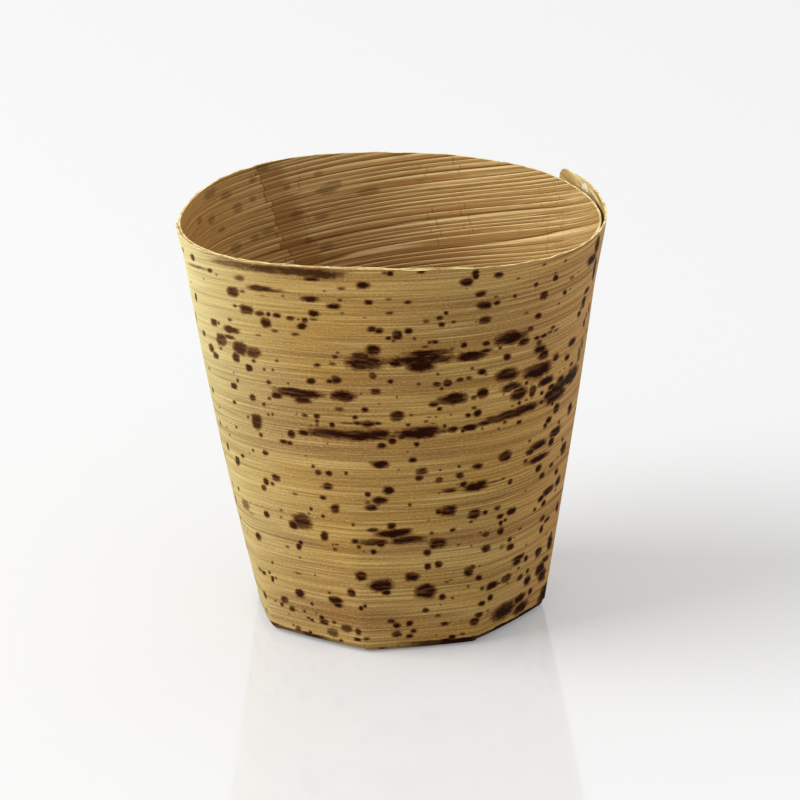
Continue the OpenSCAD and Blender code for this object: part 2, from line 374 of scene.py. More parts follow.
key_data = bpy.data.lights.new("key", "AREA")
key_data.size = KEY_SIZE
key_data.energy = KEY_LIGHT * math.pi ** 2 * KEY_AWAY ** 2
key = bpy.data.objects.new("key", key_data)
turn, rise = math.radians(KEY_TURN), math.radians(KEY_RISE)
towards = Vector((math.cos(turn) * math.cos(rise), math.sin(turn) * math.cos(rise), math.sin(rise)))
key.location = target * MM + towards * KEY_AWAY
key.rotation_euler = towards.to_track_quat("Z", "Y").to_euler()
bpy.context.scene.collection.objects.link(key)
bpy.context.scene.view_settings.view_transform = "Standard"
print("key lamp, W:", round(key_data.energy, 2))

# %% The table
FLOOR_SPAN = 3.0
FLOOR_DROP = 0.00002
FLOOR_GREY = colour(192, 192, 192)
FLOOR_GLOSS = 0.1
FLOOR_ROUGHNESS = 0.08
FLOOR_LIFT = 0.23

floor_mesh = bpy.data.meshes.new("floor")
half = FLOOR_SPAN / 2
floor_mesh.from_pydata([(-half, -half, 0), (half, -half, 0), (half, half, 0), (-half, half, 0)],
                       [], [(0, 1, 2, 3)])
floor = bpy.data.objects.new("floor", floor_mesh)
floor.location.z = -FLOOR_DROP
bpy.context.scene.collection.objects.link(floor)

table = bpy.data.materials.new("table")
table.use_nodes = True
tree = table.node_tree
tree.nodes.clear()
matt = node(tree, "ShaderNodeBsdfDiffuse", {}, [FLOOR_GREY])
lift = node(tree, "ShaderNodeEmission", {}, [WHITE, seen_directly(tree) * FLOOR_LIFT])
gloss = node(tree, "ShaderNodeBsdfGlossy", {}, {"Color": WHITE, "Roughness": FLOOR_ROUGHNESS})
plain = node(tree, "ShaderNodeAddShader", {}, [matt, lift])
both = node(tree, "ShaderNodeMixShader", {}, [FLOOR_GLOSS, plain, gloss])
node(tree, "ShaderNodeOutputMaterial", {}, [both])
floor_mesh.materials.append(table)
print("table, m across:", FLOOR_SPAN)

# %% [markdown]
# ## Cutting a sheet
#
# A sheet is cut flat before it is rolled, so it starts as a slab of leaf in its
# own coordinates: direction, height and depth. Its edges are cut by hand and
# wander a little. The slab is closed: two grids, one for each face, and strips
# round the cut edge. Each face is marked with its finish, for the materials.

# %% The slab
SKIN, INSIDE, EDGE, LINING = range(4)


def waver(turns, pitch, height, seed):
    """A line cut by hand: random knots every pitch degrees, joined smoothly."""
    random = np.random.default_rng(seed)
    at = (np.asarray(turns) - np.min(turns)) / pitch
    knots = random.uniform(-1, 1, int(at.max()) + 3)
    low = np.floor(at).astype(int)
    return height * (knots[low] + (knots[low + 1] - knots[low]) * ease(at - low))


def hand_cut(turns, heights, wavers):
    """Heights of a cut edge with its wavers, each its pitch in degrees, height and seed."""
    for each in wavers:
        heights = heights + waver(turns, *each)
    return heights


def grid_faces(grid):
    """Quads of a grid of vertex numbers, facing out where it runs round and up."""
    return np.stack([grid[:-1, :-1], grid[1:, :-1], grid[1:, 1:], grid[:-1, 1:]], -1).reshape(-1, 4)


def strip(outer, inner):
    """Quads between two rows of vertex numbers, one on each face."""
    return np.stack([outer[:-1], outer[1:], inner[1:], inner[:-1]], -1)


class Slab:
    """A sheet as it is cut: its points, their places on the leaf, and its faces."""

    def __init__(self, name):
        self.name = name
        self.points, self.leaf, self.rolls, self.faces, self.finish = [], [], [], [], []

    def grid(self, points, leaf, side, rolls):
        """Add a grid of points and return its vertex numbers."""
        first = sum(len(p) for p in self.points)
        x, y = leaf
        self.points.append(points.reshape(-1, 3))
        self.leaf.append(np.stack([x, y, np.full_like(x, side)], -1).reshape(-1, 3))
        self.rolls.append(np.full(x.size, rolls))
        return np.arange(first, first + x.size).reshape(x.shape)

    def skin(self, faces, finish):
        self.faces += np.asarray(faces).tolist()
        self.finish += [finish] * len(faces)

    def cut(self):
        """The slab as a Blender object."""
        made = bpy.data.meshes.new(self.name)
        made.from_pydata(np.concatenate(self.points), [], self.faces)
        leaf = np.concatenate(self.leaf).astype(np.float32)
        for name, kind, domain, field, values in (
                ("leaf", "FLOAT_VECTOR", "POINT", "vector", leaf),
                ("rolls", "BOOLEAN", "POINT", "value", np.concatenate(self.rolls)),
                ("finish", "INT", "FACE", "value", np.array(self.finish, np.int32))):
            made.attributes.new(name, kind, domain).data.foreach_set(field, values.ravel())
        piece = bpy.data.objects.new(self.name, made)
        bpy.context.scene.collection.objects.link(piece)
        return piece


def rolled_grid(slab, fan, turns, heights, depth, side):
    """One face of a sheet that will be rolled, in (direction, height, depth)."""
    turns = np.broadcast_to(turns[:, None], heights.shape)
    points = np.stack([turns, heights, np.full(heights.shape, depth)], -1)
    return slab.grid(points, unrolled(turns, heights, fan), side, True)


def end_faces(outer, inner):
    """Faces between two columns of vertex numbers, where one may be finer."""
    finer = (len(inner) - 1) // (len(outer) - 1)
    return [[outer[k], outer[k + 1], *inner[k * finer:(k + 1) * finer + 1][::-1]]
            for k in range(len(outer) - 1)]


def sheet(slab, fan, turns, outer_heights, outer_depth, inner_heights, inner_depth, inner_finish):
    """The two faces of a rolled sheet and its cut edges, but for its foot."""
    outer = rolled_grid(slab, fan, turns, outer_heights, outer_depth, 0.0)
    inner = rolled_grid(slab, fan, turns, inner_heights, inner_depth, 1.0)
    slab.skin(grid_faces(outer), SKIN)
    slab.skin(grid_faces(inner)[:, ::-1], inner_finish)
    slab.skin(strip(outer[:, -1], inner[:, -1]), EDGE)
    slab.skin(end_faces(outer[0], inner[0]), EDGE)
    slab.skin([face[::-1] for face in end_faces(outer[-1], inner[-1])], EDGE)
    return outer, inner


# %% [markdown]
# ## The outer ply
#
# The outer ply is wound a turn and a ninth. Its rim follows the inner ply's, but
# it is wound a little askew, so the free end rises into a corner at the right-hand
# back. Its foot is slit into eight tabs. Every second tab is folded under first
# and lies on the ground, and the others lie on top of it.

# %% The rim lines
RIM_WAVES = [(0.65, 1, 162.0), (0.35, 2, 85.0), (0.55, 3, 23.0)]
CORNER_RISE = 1.2
SKEW_PLACES = [0, 0.23, 0.46, 0.7, 0.88, 1]
SKEW_RISES = [-1.2, -0.6, -0.1, 0, 0.4, 1]


def rim_height(a):
    """Height of the inner ply's rim, which waves a little."""
    return CUP.height + sum(rise * cosd(count * (a - turn)) for rise, count, turn in RIM_WAVES)


def wrap_rim(a):
    """Height of the outer ply's rim, which rises along its winding."""
    share = (a - CUP.wrap_from) / (CUP.wrap_to - CUP.wrap_from)
    return rim_height(a) + CORNER_RISE * np.interp(share, SKEW_PLACES, SKEW_RISES)


print("rim heights, mm:", np.round(rim_height(np.arange(0, 360, 45)), 2))

# %% The outer ply, cut flat
WALL_ROWS = 84
WRAP_STEPS = 46
SLIT = 0.05
SLIT_TURN = math.degrees(math.asin(SLIT / CUP.foot_width))


def stations(start, end, steps):
    """Directions of a sheet's columns, with one on each side of every slit."""
    first = math.floor((start - CUP.foot_turn) / 2 / HALF_TAB)
    last = math.ceil((end - CUP.foot_turn) / 2 / HALF_TAB)
    corners = CUP.foot_turn + 2 * HALF_TAB * np.arange(first, last)
    turns = np.linspace(
        corners + SLIT_TURN, corners + 2 * HALF_TAB - SLIT_TURN, steps, axis=1).ravel()
    gap = HALF_TAB / steps
    between = turns[(turns > start + gap) & (turns < end - gap)]
    return np.concatenate([[start], between, [end]])


def rows(foot, tops, count):
    """Heights of a sheet's rows, from its foot up to its cut edge."""
    return foot + (tops - foot)[:, None] * np.linspace(0, 1, count)


WRAP_WAVERS = [(6, 0.09, 3), (1.7, 0.05, 4)]
CORNER_ROUND = 2.4
CORNER_ARC = math.radians(CUP.rim_diameter / 2)
CORNER_STEPS = np.array([0.1, 0.3, 0.6, 1.0, 1.5])
CHIP_TURNS = [158, 165, 172, 176, 178, 181, 183, 190]
CHIP_DROPS = [0, 0.25, 0.5, 0.9, 0.6, 0.75, 0.2, 0]


def corner_drop(turns):
    """How much the rounded free corner lies below a square one."""
    away = np.clip((CUP.wrap_to - turns) / CORNER_ROUND, 0, 1)
    return CORNER_ROUND * CORNER_ARC * (1 - np.sqrt(1 - (1 - away) ** 2))


wrap_turns = stations(CUP.wrap_from, CUP.wrap_to, WRAP_STEPS)
wrap_turns = np.union1d(wrap_turns, CUP.wrap_to - CORNER_STEPS)
wrap_top = (hand_cut(wrap_turns, wrap_rim(wrap_turns), WRAP_WAVERS)
            - corner_drop(wrap_turns) - np.interp(wrap_turns, CHIP_TURNS, CHIP_DROPS))
wrap_heights = rows(CUP.fold, wrap_top, WALL_ROWS)
wrap_slab = Slab("outer_wrap_sheet")
wrap_out, wrap_in = sheet(
    wrap_slab, WRAP_FAN, wrap_turns, wrap_heights, CUP.ply, wrap_heights, 0.0, LINING)
print("outer ply: columns", len(wrap_turns), "rows", WALL_ROWS)

# %% [markdown]
# The tabs are folded by hand, in Python, because each one bends about its own
# straight edge and not about the cup's axis. A tab's points are worked out along
# its middle (`v`) and across it (`u`). They go round the fold, then run flat
# towards the centre, and narrow to a tip that clears the tabs beside it.

# %% The tabs
TAB_LENGTH = 13.0
TIP_SHARE = 0.9
FOLD_STEPS = 7
FLAT_STEPS = 14
FOOT_FLAT = CUP.foot_width / 2 * math.cos(math.radians(HALF_TAB))
CROSS = CUP.fold + CUP.ply
TIP = FOOT_FLAT - TAB_LENGTH


def room(depth):
    """Half the width that a tab may have at a depth from the foot's edge."""
    return (FOOT_FLAT - depth) * math.tan(math.radians(HALF_TAB)) - SLIT / 2


tip_width = min(room(CROSS) * TIP_SHARE, TIP * math.tan(math.radians(2 * HALF_TAB)) - SLIT / 2)


def tab_grid(turns, middle, level_z, depth, side):
    """One face of a tab, from the fold to the tip, as vertex numbers."""
    radius = wall_radius(CUP, turns, CUP.fold) + CUP.glue + depth
    outer = wall_radius(CUP, turns, CUP.fold) + CUP.glue + CUP.ply
    away = turns - middle
    v, u = radius * cosd(away), radius * cosd(away - 90)
    outer_v, outer_u = outer * cosd(away), outer * cosd(away - 90)
    lift = level_z + CUP.ply - depth
    bend = CUP.fold - lift
    steps = []
    for angle in np.linspace(0, math.pi / 2, FOLD_STEPS + 1)[1:]:
        depth_in = bend * (1 - math.cos(angle))
        steps.append((v - depth_in, u * room(depth_in) / room(0), CUP.fold - bend * math.sin(angle),
                      CUP.fold - bend * angle))
    cross_v, cross_u = outer_v - CROSS, outer_u * room(CROSS) / room(0)
    for share in np.linspace(0, 1, FLAT_STEPS):
        steps.append((cross_v + (TIP - cross_v) * share,
                      cross_u + (outer_u * tip_width / room(0) - cross_u) * share, lift,
                      -TAB_LENGTH * share))
    c, s = cosd(middle), cosd(middle - 90)
    points = np.stack([
        np.stack([out * c - across * s, out * s + across * c, np.full_like(out, z)], -1)
        for out, across, z, _ in steps], 1)
    heights = np.broadcast_to([way for *_, way in steps], points.shape[:2])
    turns = np.broadcast_to(turns[:, None], heights.shape)
    return wrap_slab.grid(points, unrolled(turns, heights, WRAP_FAN), side, False)


def add_tab(index):
    """Both faces of a tab and its cut edges; returns the columns that it hangs from."""
    corner = CUP.foot_turn + 2 * HALF_TAB * index
    columns = np.flatnonzero(np.abs(wrap_turns - corner - HALF_TAB) < HALF_TAB - SLIT_TURN / 2)
    turns = wrap_turns[columns]
    level_z = 0.0 if index % 2 else CUP.ply + CUP.glue
    grids = []
    for side, (wall, depth) in enumerate(((wrap_out, CUP.ply), (wrap_in, 0.0))):
        grid = tab_grid(turns, corner + HALF_TAB, level_z, depth, float(side))
        grids.append(np.concatenate([wall[columns, :1], grid], 1))
    outer, inner = grids
    wrap_slab.skin(grid_faces(outer)[:, ::-1], SKIN)
    wrap_slab.skin(grid_faces(inner), LINING)
    wrap_slab.skin(strip(inner[:, -1], outer[:, -1]), EDGE)
    wrap_slab.skin(strip(inner[0], outer[0]), SKIN)
    wrap_slab.skin(strip(outer[-1], inner[-1]), SKIN)
    return columns


with_tab = np.zeros(len(wrap_turns) - 1, bool)
for index in range(TAB_COUNT):
    with_tab[add_tab(index)[:-1]] = True
wrap_slab.skin(strip(wrap_in[:, 0], wrap_out[:, 0])[~with_tab], EDGE)
print("tabs:", TAB_COUNT, "faces so far:", len(wrap_slab.faces))

# %% [markdown]
# ## The inner ply
#
# The inner ply is a plain cone with a ribbed inside. Ribs that stand a tenth of a
# millimetre proud need rows closer than their pitch, so the inside gets ten rows
# for each row of the plain outside, which nobody sees. Its foot reaches down beside
# the floor disc, and closes the slits of the foot from inside.

# %% The inner ply, cut flat
LINER_STEPS = 28
LINER_ROWS = 36
FINER = 10
LINER_FOOT = 1.55
LINER_WAVERS = [(5, 0.08, 7), (1.5, 0.04, 8)]

liner_turns = stations(CUP.liner_from, CUP.liner_to, LINER_STEPS)
liner_top = hand_cut(liner_turns, rim_height(liner_turns), LINER_WAVERS)
liner_slab = Slab("inner_liner_sheet")
liner_out, liner_in = sheet(
    liner_slab, LINER_FAN, liner_turns, rows(LINER_FOOT, liner_top, LINER_ROWS), 0.0,
    rows(LINER_FOOT, liner_top, (LINER_ROWS - 1) * FINER + 1), -CUP.ply, INSIDE)
liner_slab.skin(strip(liner_in[:, 0], liner_out[:, 0]), EDGE)
print("inner ply: columns", len(liner_turns), "rows", liner_in.shape[1])

# %% [markdown]
# ## Rolling, with Geometry Nodes
#
# One kind of tree rolls both sheets. It reads each point's direction, height and
# depth, works out the wall's radius there with the rule above, and sets the point
# on the cup. On the inside it also raises the ribs. A rib's phase counts the ribs
# across the leaf, and noise makes them wander and fork. The phase is stored on the
# mesh, so that the material finds the same grooves. Towards both margins of the
# leaf the ribs grow faint. The tree's last inputs are the four finishes, in the
# order of the slab's finish numbers.

# %% The ribs
RIB_SIZES = {"rib_pitch": 0.92, "rib_wander": 1.6, "rib_seed": 5.0}
WRAP_RIB = 0.06
LINER_RIB = 0.12
RIB_DRIFT = (0.012, 0.16, 1.0, 0.5)
RIB_FORKS = (0.01, 0.6, 1.0, 0.5)
RIB_BLUNT = 0.6
RIB_LEAN = 0.35
RIB_MEAN = 0.7
LOW_MARGIN = (-94.0, 24.0, 0.4)
HIGH_MARGIN = (9.0, 34.0, 0.06)


def rib_phase(sizes, at):
    """Ribs counted across the leaf, with a slow drift and finer forks."""
    drift = noise(at, *RIB_DRIFT, sizes.rib_seed) - 0.5
    width = noise(at, *RIB_FORKS, sizes.rib_seed + 3.0) - 0.5
    return at[1] / sizes.rib_pitch + drift * sizes.rib_wander * 2.0 + width * sizes.rib_wander


def rib_rise(phase):
    """Height of a rib, 0 in the groove and 1 on its back, which lies above its middle."""
    part = phase.math("FRACT")
    return (part * (1 - part) * 4) ** RIB_BLUNT * (1 - RIB_LEAN + part * RIB_LEAN)


def boldness(x):
    """How bold the ribs are; a margin is its edge, its width and what is left of them."""
    low, width, least = LOW_MARGIN
    bold = least + ease((x - low) / width) * (1 - least)
    high, width, least = HIGH_MARGIN
    return bold * (least + ease((high - x) / width) * (1 - least))


# %% The rolling tree
PARTS_OF_A_SHEET = ("skin", "inside", "edge", "lining")


def group_inputs(tree, sizes, materials):
    """Name the tree's inputs, and return them as wires by name."""
    tree.interface.new_socket("Slab", in_out="INPUT", socket_type="NodeSocketGeometry")
    for name, value in sizes.items():
        made = tree.interface.new_socket(name.replace("_", " "), in_out="INPUT",
                                         socket_type="NodeSocketFloat")
        made.default_value = value
    for name in materials:
        tree.interface.new_socket(name, in_out="INPUT", socket_type="NodeSocketMaterial")
    start = tree.nodes.new("NodeGroupInput")
    return {out.name: Wire(tree, out) for out in start.outputs if out.name}


def rolling_tree(name, standoff, sizes):
    """A tree that rolls a slab round the cup and raises its ribs."""
    tree = bpy.data.node_groups.new(name, "GeometryNodeTree")
    inputs = group_inputs(tree, sizes, PARTS_OF_A_SHEET)
    tree.interface.new_socket("Sheet", in_out="OUTPUT", socket_type="NodeSocketGeometry")
    cup = SimpleNamespace(**{size: inputs[size.replace("_", " ")] for size in sizes})

    a, z, depth = node(tree, "GeometryNodeInputPosition").parts()
    x, y, side = node(tree, "GeometryNodeInputNamedAttribute", {"data_type": "FLOAT_VECTOR"},
                      {"Name": "leaf"}).parts()
    rolls = node(tree, "GeometryNodeInputNamedAttribute", {"data_type": "BOOLEAN"}, {"Name": "rolls"})
    phase = rib_phase(cup, (x, y))
    ribs = (rib_rise(phase) - RIB_MEAN) * boldness(x) * side * cup.rib_height
    radius = wall_radius(cup, a, z) + standoff(cup, a, z) + depth - ribs
    place = vector(tree, radius * cosd(a), radius * cosd(a - 90.0), z)

    geometry = node(
        tree, "GeometryNodeStoreNamedAttribute", {"data_type": "FLOAT", "domain": "POINT"},
        {"Geometry": inputs["Slab"], "Name": "rib", "Value": phase})
    geometry = node(tree, "GeometryNodeSetPosition", {},
                    {"Geometry": geometry, "Selection": rolls, "Position": place})
    middle = (foot_middle.x * MM, foot_middle.y * MM, 0.0)
    geometry = node(tree, "GeometryNodeTransform", {},
                    {"Geometry": geometry, "Translation": middle, "Scale": (MM, MM, MM)})
    geometry = node(tree, "GeometryNodeRealizeInstances", {}, [geometry])
    finish = node(tree, "GeometryNodeInputNamedAttribute", {"data_type": "INT"}, {"Name": "finish"})
    for number, material in enumerate(PARTS_OF_A_SHEET):
        chosen = node(tree, "FunctionNodeCompare", {"data_type": "INT", "operation": "EQUAL"},
                      {2: finish, 3: number})
        geometry = node(tree, "GeometryNodeSetMaterial", {},
                        {"Geometry": geometry, "Selection": chosen, "Material": inputs[material]})
    end = tree.nodes.new("NodeGroupOutput")
    tree.links.new(geometry.socket, end.inputs[0])
    return tree


# %% From a slab to a piece
CREASE = math.radians(55)


def smooth(mesh):
    mesh.shade_smooth()
    mesh.set_sharp_from_angle(angle=CREASE)
    mesh.calc_loop_triangles()


def rolled(slab, standoff, sizes, materials, spots):
    """Cut a slab, roll it and return the plain piece."""
    piece = slab.cut()
    if spots is not None:
        mark_spots(slab, piece.data, spots)
    tree = rolling_tree("roll_" + slab.name, standoff, sizes)
    modifier = piece.modifiers.new("roll", "NODES")
    modifier.node_group = tree
    for item in tree.interface.items_tree:
        if item.in_out == "INPUT" and item.name in materials:
            modifier[item.identifier] = materials[item.name]
    graph = bpy.context.evaluated_depsgraph_get()
    made = bpy.data.meshes.new_from_object(
        piece.evaluated_get(graph), preserve_all_data_layers=True, depsgraph=graph)
    piece.modifiers.clear()
    piece.data = made
    smooth(made)
    print(slab.name, "triangles:", len(made.loop_triangles), "materials:", len(made.materials))
    return piece


# %% [markdown]
# ## The spots
#
# The spots are what one notices first, so their places are read off the picture,
# in six enlarged views. A spot is (across, down, half-length, half-height) in
# the view's own pixels, and a pale one has its strength too. A view has its corner
# in the picture and how much it is enlarged. A ray goes from the eye through each
# spot to the wall, and the point that it meets is unrolled on to the leaf. So the
# spots are part of the leaf and stay on it from every side. The sides that the
# picture doesn't show get random spots with the same sizes and spread.

# %% Spots read off the picture
UPPER_LEFT = [
    (330, 158, 60, 5, 0.7), (420, 184, 55, 6, 0.8), (150, 128, 8, 14), (212, 178, 14, 18),
    (325, 265, 14, 12), (368, 291, 8, 6), (240, 240, 60, 8), (285, 319, 6, 6), (203, 337, 7, 6),
    (235, 437, 10, 22), (236, 570, 8, 28), (515, 312, 28, 18, 0.7), (480, 222, 140, 18, 0.7),
    (800, 264, 330, 24, 0.85), (1040, 290, 150, 26, 0.9), (990, 320, 50, 14),
    (470, 228, 60, 8, 0.6), (655, 382, 75, 18), (740, 395, 60, 10), (475, 403, 36, 28),
    (537, 401, 14, 10), (668, 430, 20, 6, 0.5), (803, 431, 9, 6), (978, 452, 52, 18),
    (1182, 383, 22, 10), (1325, 363, 40, 22), (1072, 398, 8, 6), (1470, 281, 18, 9),
    (1503, 285, 20, 14), (1133, 498, 40, 18), (1175, 458, 15, 10), (1362, 474, 24, 16),
    (1492, 452, 16, 9), (490, 496, 12, 10), (563, 520, 42, 28), (650, 545, 30, 16),
    (708, 550, 14, 14), (763, 558, 26, 14), (690, 605, 32, 30), (853, 578, 24, 14),
    (903, 585, 10, 8), (945, 590, 20, 14), (1007, 545, 34, 20), (1005, 585, 25, 8),
    (1190, 543, 12, 8), (1498, 543, 20, 10), (1338, 573, 10, 6), (352, 603, 18, 22),
    (384, 607, 7, 10), (455, 586, 12, 10), (462, 650, 44, 22), (926, 628, 28, 20),
    (748, 660, 20, 10), (885, 680, 24, 10), (640, 687, 18, 6), (288, 675, 12, 16),
    (400, 718, 30, 36), (455, 700, 30, 12), (523, 773, 42, 40), (608, 800, 42, 30),
    (335, 770, 16, 24), (365, 818, 16, 20), (397, 773, 9, 9), (497, 832, 22, 28),
    (612, 856, 12, 10), (763, 855, 10, 9), (583, 900, 22, 22), (681, 910, 9, 9),
    (737, 915, 8, 9), (483, 1018, 18, 18), (709, 995, 16, 12), (508, 983, 8, 10),
    (482, 932, 6, 6), (1145, 828, 18, 12), (1158, 803, 12, 8), (1028, 885, 22, 14),
    (1127, 875, 18, 9), (984, 986, 28, 20), (1108, 988, 22, 14), (1152, 978, 32, 24),
    (1390, 785, 42, 34), (1385, 647, 28, 16), (1432, 658, 24, 18), (1492, 706, 16, 12),
    (1525, 723, 12, 10), (1550, 685, 28, 32), (1340, 870, 110, 44), (1310, 825, 50, 24),
    (1540, 868, 40, 28), (1391, 952, 20, 20), (1507, 990, 18, 14), (1407, 1055, 30, 18),
    (900, 1065, 150, 28), (880, 1045, 60, 14), (1195, 1085, 75, 34), (605, 1095, 18, 20),
    (345, 1045, 9, 14), (322, 905, 7, 8), (837, 1003, 8, 7)]
UPPER_RIGHT = [
    (270, 274, 24, 12), (567, 340, 38, 26), (625, 278, 22, 20), (628, 302, 18, 20),
    (778, 294, 30, 18), (903, 316, 12, 7), (1148, 312, 16, 20), (1145, 280, 8, 6),
    (1255, 311, 12, 8), (1075, 226, 12, 8), (1213, 200, 10, 8), (1298, 274, 5, 5),
    (1020, 357, 14, 14), (657, 416, 32, 18), (568, 384, 6, 5), (757, 438, 12, 8),
    (882, 431, 12, 12), (1073, 427, 24, 24), (1208, 407, 12, 14), (1243, 385, 6, 6),
    (1168, 480, 7, 8), (182, 472, 20, 12), (683, 492, 44, 24), (765, 477, 20, 14),
    (388, 574, 20, 14), (432, 541, 12, 12), (300, 597, 18, 14, 0.6), (402, 618, 20, 14),
    (480, 600, 14, 10), (685, 590, 38, 22), (628, 600, 8, 6), (955, 543, 12, 8),
    (1033, 563, 20, 18), (186, 660, 24, 20), (225, 711, 11, 10), (5, 660, 12, 14),
    (325, 733, 14, 10), (360, 731, 22, 12), (295, 764, 18, 9), (985, 645, 18, 14),
    (1130, 635, 12, 10), (1025, 705, 16, 12), (1070, 690, 22, 12), (1110, 668, 16, 9),
    (1150, 655, 14, 8), (549, 750, 18, 18), (695, 743, 22, 14), (470, 778, 12, 10),
    (860, 705, 90, 40), (780, 730, 32, 18), (940, 730, 34, 22), (270, 850, 200, 30),
    (270, 890, 80, 34), (320, 805, 130, 22), (600, 822, 92, 30), (690, 790, 40, 12),
    (785, 770, 12, 10), (760, 798, 5, 5), (830, 830, 24, 20), (1040, 735, 16, 16),
    (1045, 780, 40, 24), (1070, 815, 32, 26), (1148, 832, 18, 20), (1222, 832, 14, 18),
    (1250, 875, 12, 10), (1215, 812, 5, 5), (1255, 730, 22, 20), (1035, 920, 85, 44),
    (835, 945, 70, 40), (1085, 985, 46, 24), (1250, 950, 50, 40), (1170, 1020, 60, 30),
    (1180, 975, 20, 20), (603, 902, 10, 10), (378, 941, 10, 10), (665, 927, 26, 20),
    (692, 945, 10, 8), (253, 1007, 12, 9), (372, 1008, 22, 16), (443, 1000, 26, 22),
    (403, 1037, 12, 10), (523, 978, 26, 12), (580, 968, 18, 12), (860, 1025, 60, 24),
    (957, 998, 10, 12), (670, 1065, 36, 30), (612, 1095, 18, 14), (488, 1092, 70, 28),
    (910, 1065, 50, 36), (998, 1045, 20, 30), (1120, 1025, 20, 16), (1057, 1065, 9, 12),
    (1105, 1080, 30, 30), (110, 1092, 6, 8), (1330, 470, 14, 30), (1350, 395, 20, 16),
    (1300, 548, 12, 16), (1333, 605, 10, 22), (1365, 510, 8, 24), (1312, 510, 8, 8),
    (1348, 555, 6, 14), (1345, 655, 5, 8), (1385, 190, 36, 26), (1400, 260, 14, 50),
    (1420, 95, 20, 40), (1300, 810, 14, 40, 0.6), (1320, 740, 12, 30, 0.6), (1205, 905, 5, 5),
    (1175, 930, 6, 6)]
MIDDLE_LEFT = [
    (565, 62, 12, 10), (527, 103, 12, 12), (317, 86, 10, 12), (620, 38, 36, 22),
    (780, 30, 110, 30), (800, 70, 60, 26), (910, 38, 30, 12), (1050, 20, 30, 14),
    (1220, 28, 8, 8), (475, 225, 36, 50), (415, 193, 8, 10), (505, 320, 12, 14),
    (558, 175, 9, 9), (590, 174, 8, 10), (210, 122, 6, 8), (217, 238, 7, 16), (283, 320, 6, 8),
    (330, 265, 6, 10), (263, 265, 5, 8), (757, 173, 9, 6), (818, 182, 20, 12),
    (904, 187, 22, 16), (905, 222, 14, 12), (905, 250, 9, 10), (862, 253, 7, 6),
    (1063, 136, 26, 12), (1246, 141, 22, 18), (1347, 96, 6, 5), (1175, 195, 18, 14),
    (1130, 237, 45, 8), (1200, 236, 30, 14), (1270, 240, 50, 20), (1335, 238, 26, 12),
    (1262, 262, 16, 8), (1477, 183, 42, 34), (1555, 250, 14, 12), (1012, 248, 18, 18),
    (810, 305, 36, 20), (1000, 310, 170, 30), (1200, 325, 180, 34), (1340, 318, 80, 36),
    (1450, 330, 30, 10), (1443, 366, 24, 22), (1367, 398, 28, 20), (722, 313, 26, 24),
    (668, 368, 28, 14), (711, 377, 20, 14), (978, 382, 8, 7), (270, 403, 10, 22),
    (375, 470, 10, 12), (338, 503, 14, 28), (450, 430, 7, 10), (425, 450, 6, 6),
    (537, 448, 18, 18), (825, 470, 7, 6), (1360, 532, 50, 26), (1295, 518, 20, 8),
    (878, 543, 12, 12), (913, 588, 22, 18), (988, 594, 22, 18), (1113, 592, 12, 12),
    (1485, 568, 7, 7), (613, 626, 28, 22), (543, 652, 18, 22), (587, 668, 12, 12),
    (525, 697, 16, 18), (985, 686, 34, 22), (940, 688, 16, 6), (748, 741, 18, 8),
    (948, 768, 20, 14), (1415, 718, 36, 28), (1268, 743, 20, 16), (1352, 788, 46, 26),
    (1265, 800, 18, 14, 0.6), (1290, 838, 38, 22), (1340, 822, 14, 8), (345, 700, 7, 12),
    (395, 815, 26, 30, 0.6), (440, 880, 16, 8, 0.5), (545, 885, 18, 22), (650, 856, 10, 8),
    (648, 905, 8, 8), (1033, 845, 32, 28), (863, 847, 11, 12), (847, 880, 11, 8),
    (948, 900, 12, 12), (800, 935, 62, 50), (738, 962, 32, 28), (1162, 958, 12, 12),
    (1437, 970, 28, 22), (1305, 998, 36, 14), (1440, 1025, 110, 26), (1530, 1005, 50, 18),
    (960, 1042, 26, 32), (487, 1043, 18, 24), (790, 1087, 14, 14), (778, 1118, 18, 20),
    (694, 1116, 12, 8), (1178, 1078, 24, 16), (1203, 1119, 12, 12), (1310, 1085, 85, 22),
    (1360, 1095, 30, 22), (1510, 1077, 70, 24), (1018, 1102, 7, 9), (1048, 1102, 14, 8),
    (1033, 1136, 14, 10), (1310, 1155, 20, 18), (1240, 1150, 7, 6), (782, 1195, 10, 7),
    (360, 908, 6, 10), (370, 985, 6, 10), (410, 1015, 5, 6), (235, 420, 6, 24),
    (250, 465, 5, 14), (305, 670, 5, 16), (325, 770, 8, 24)]
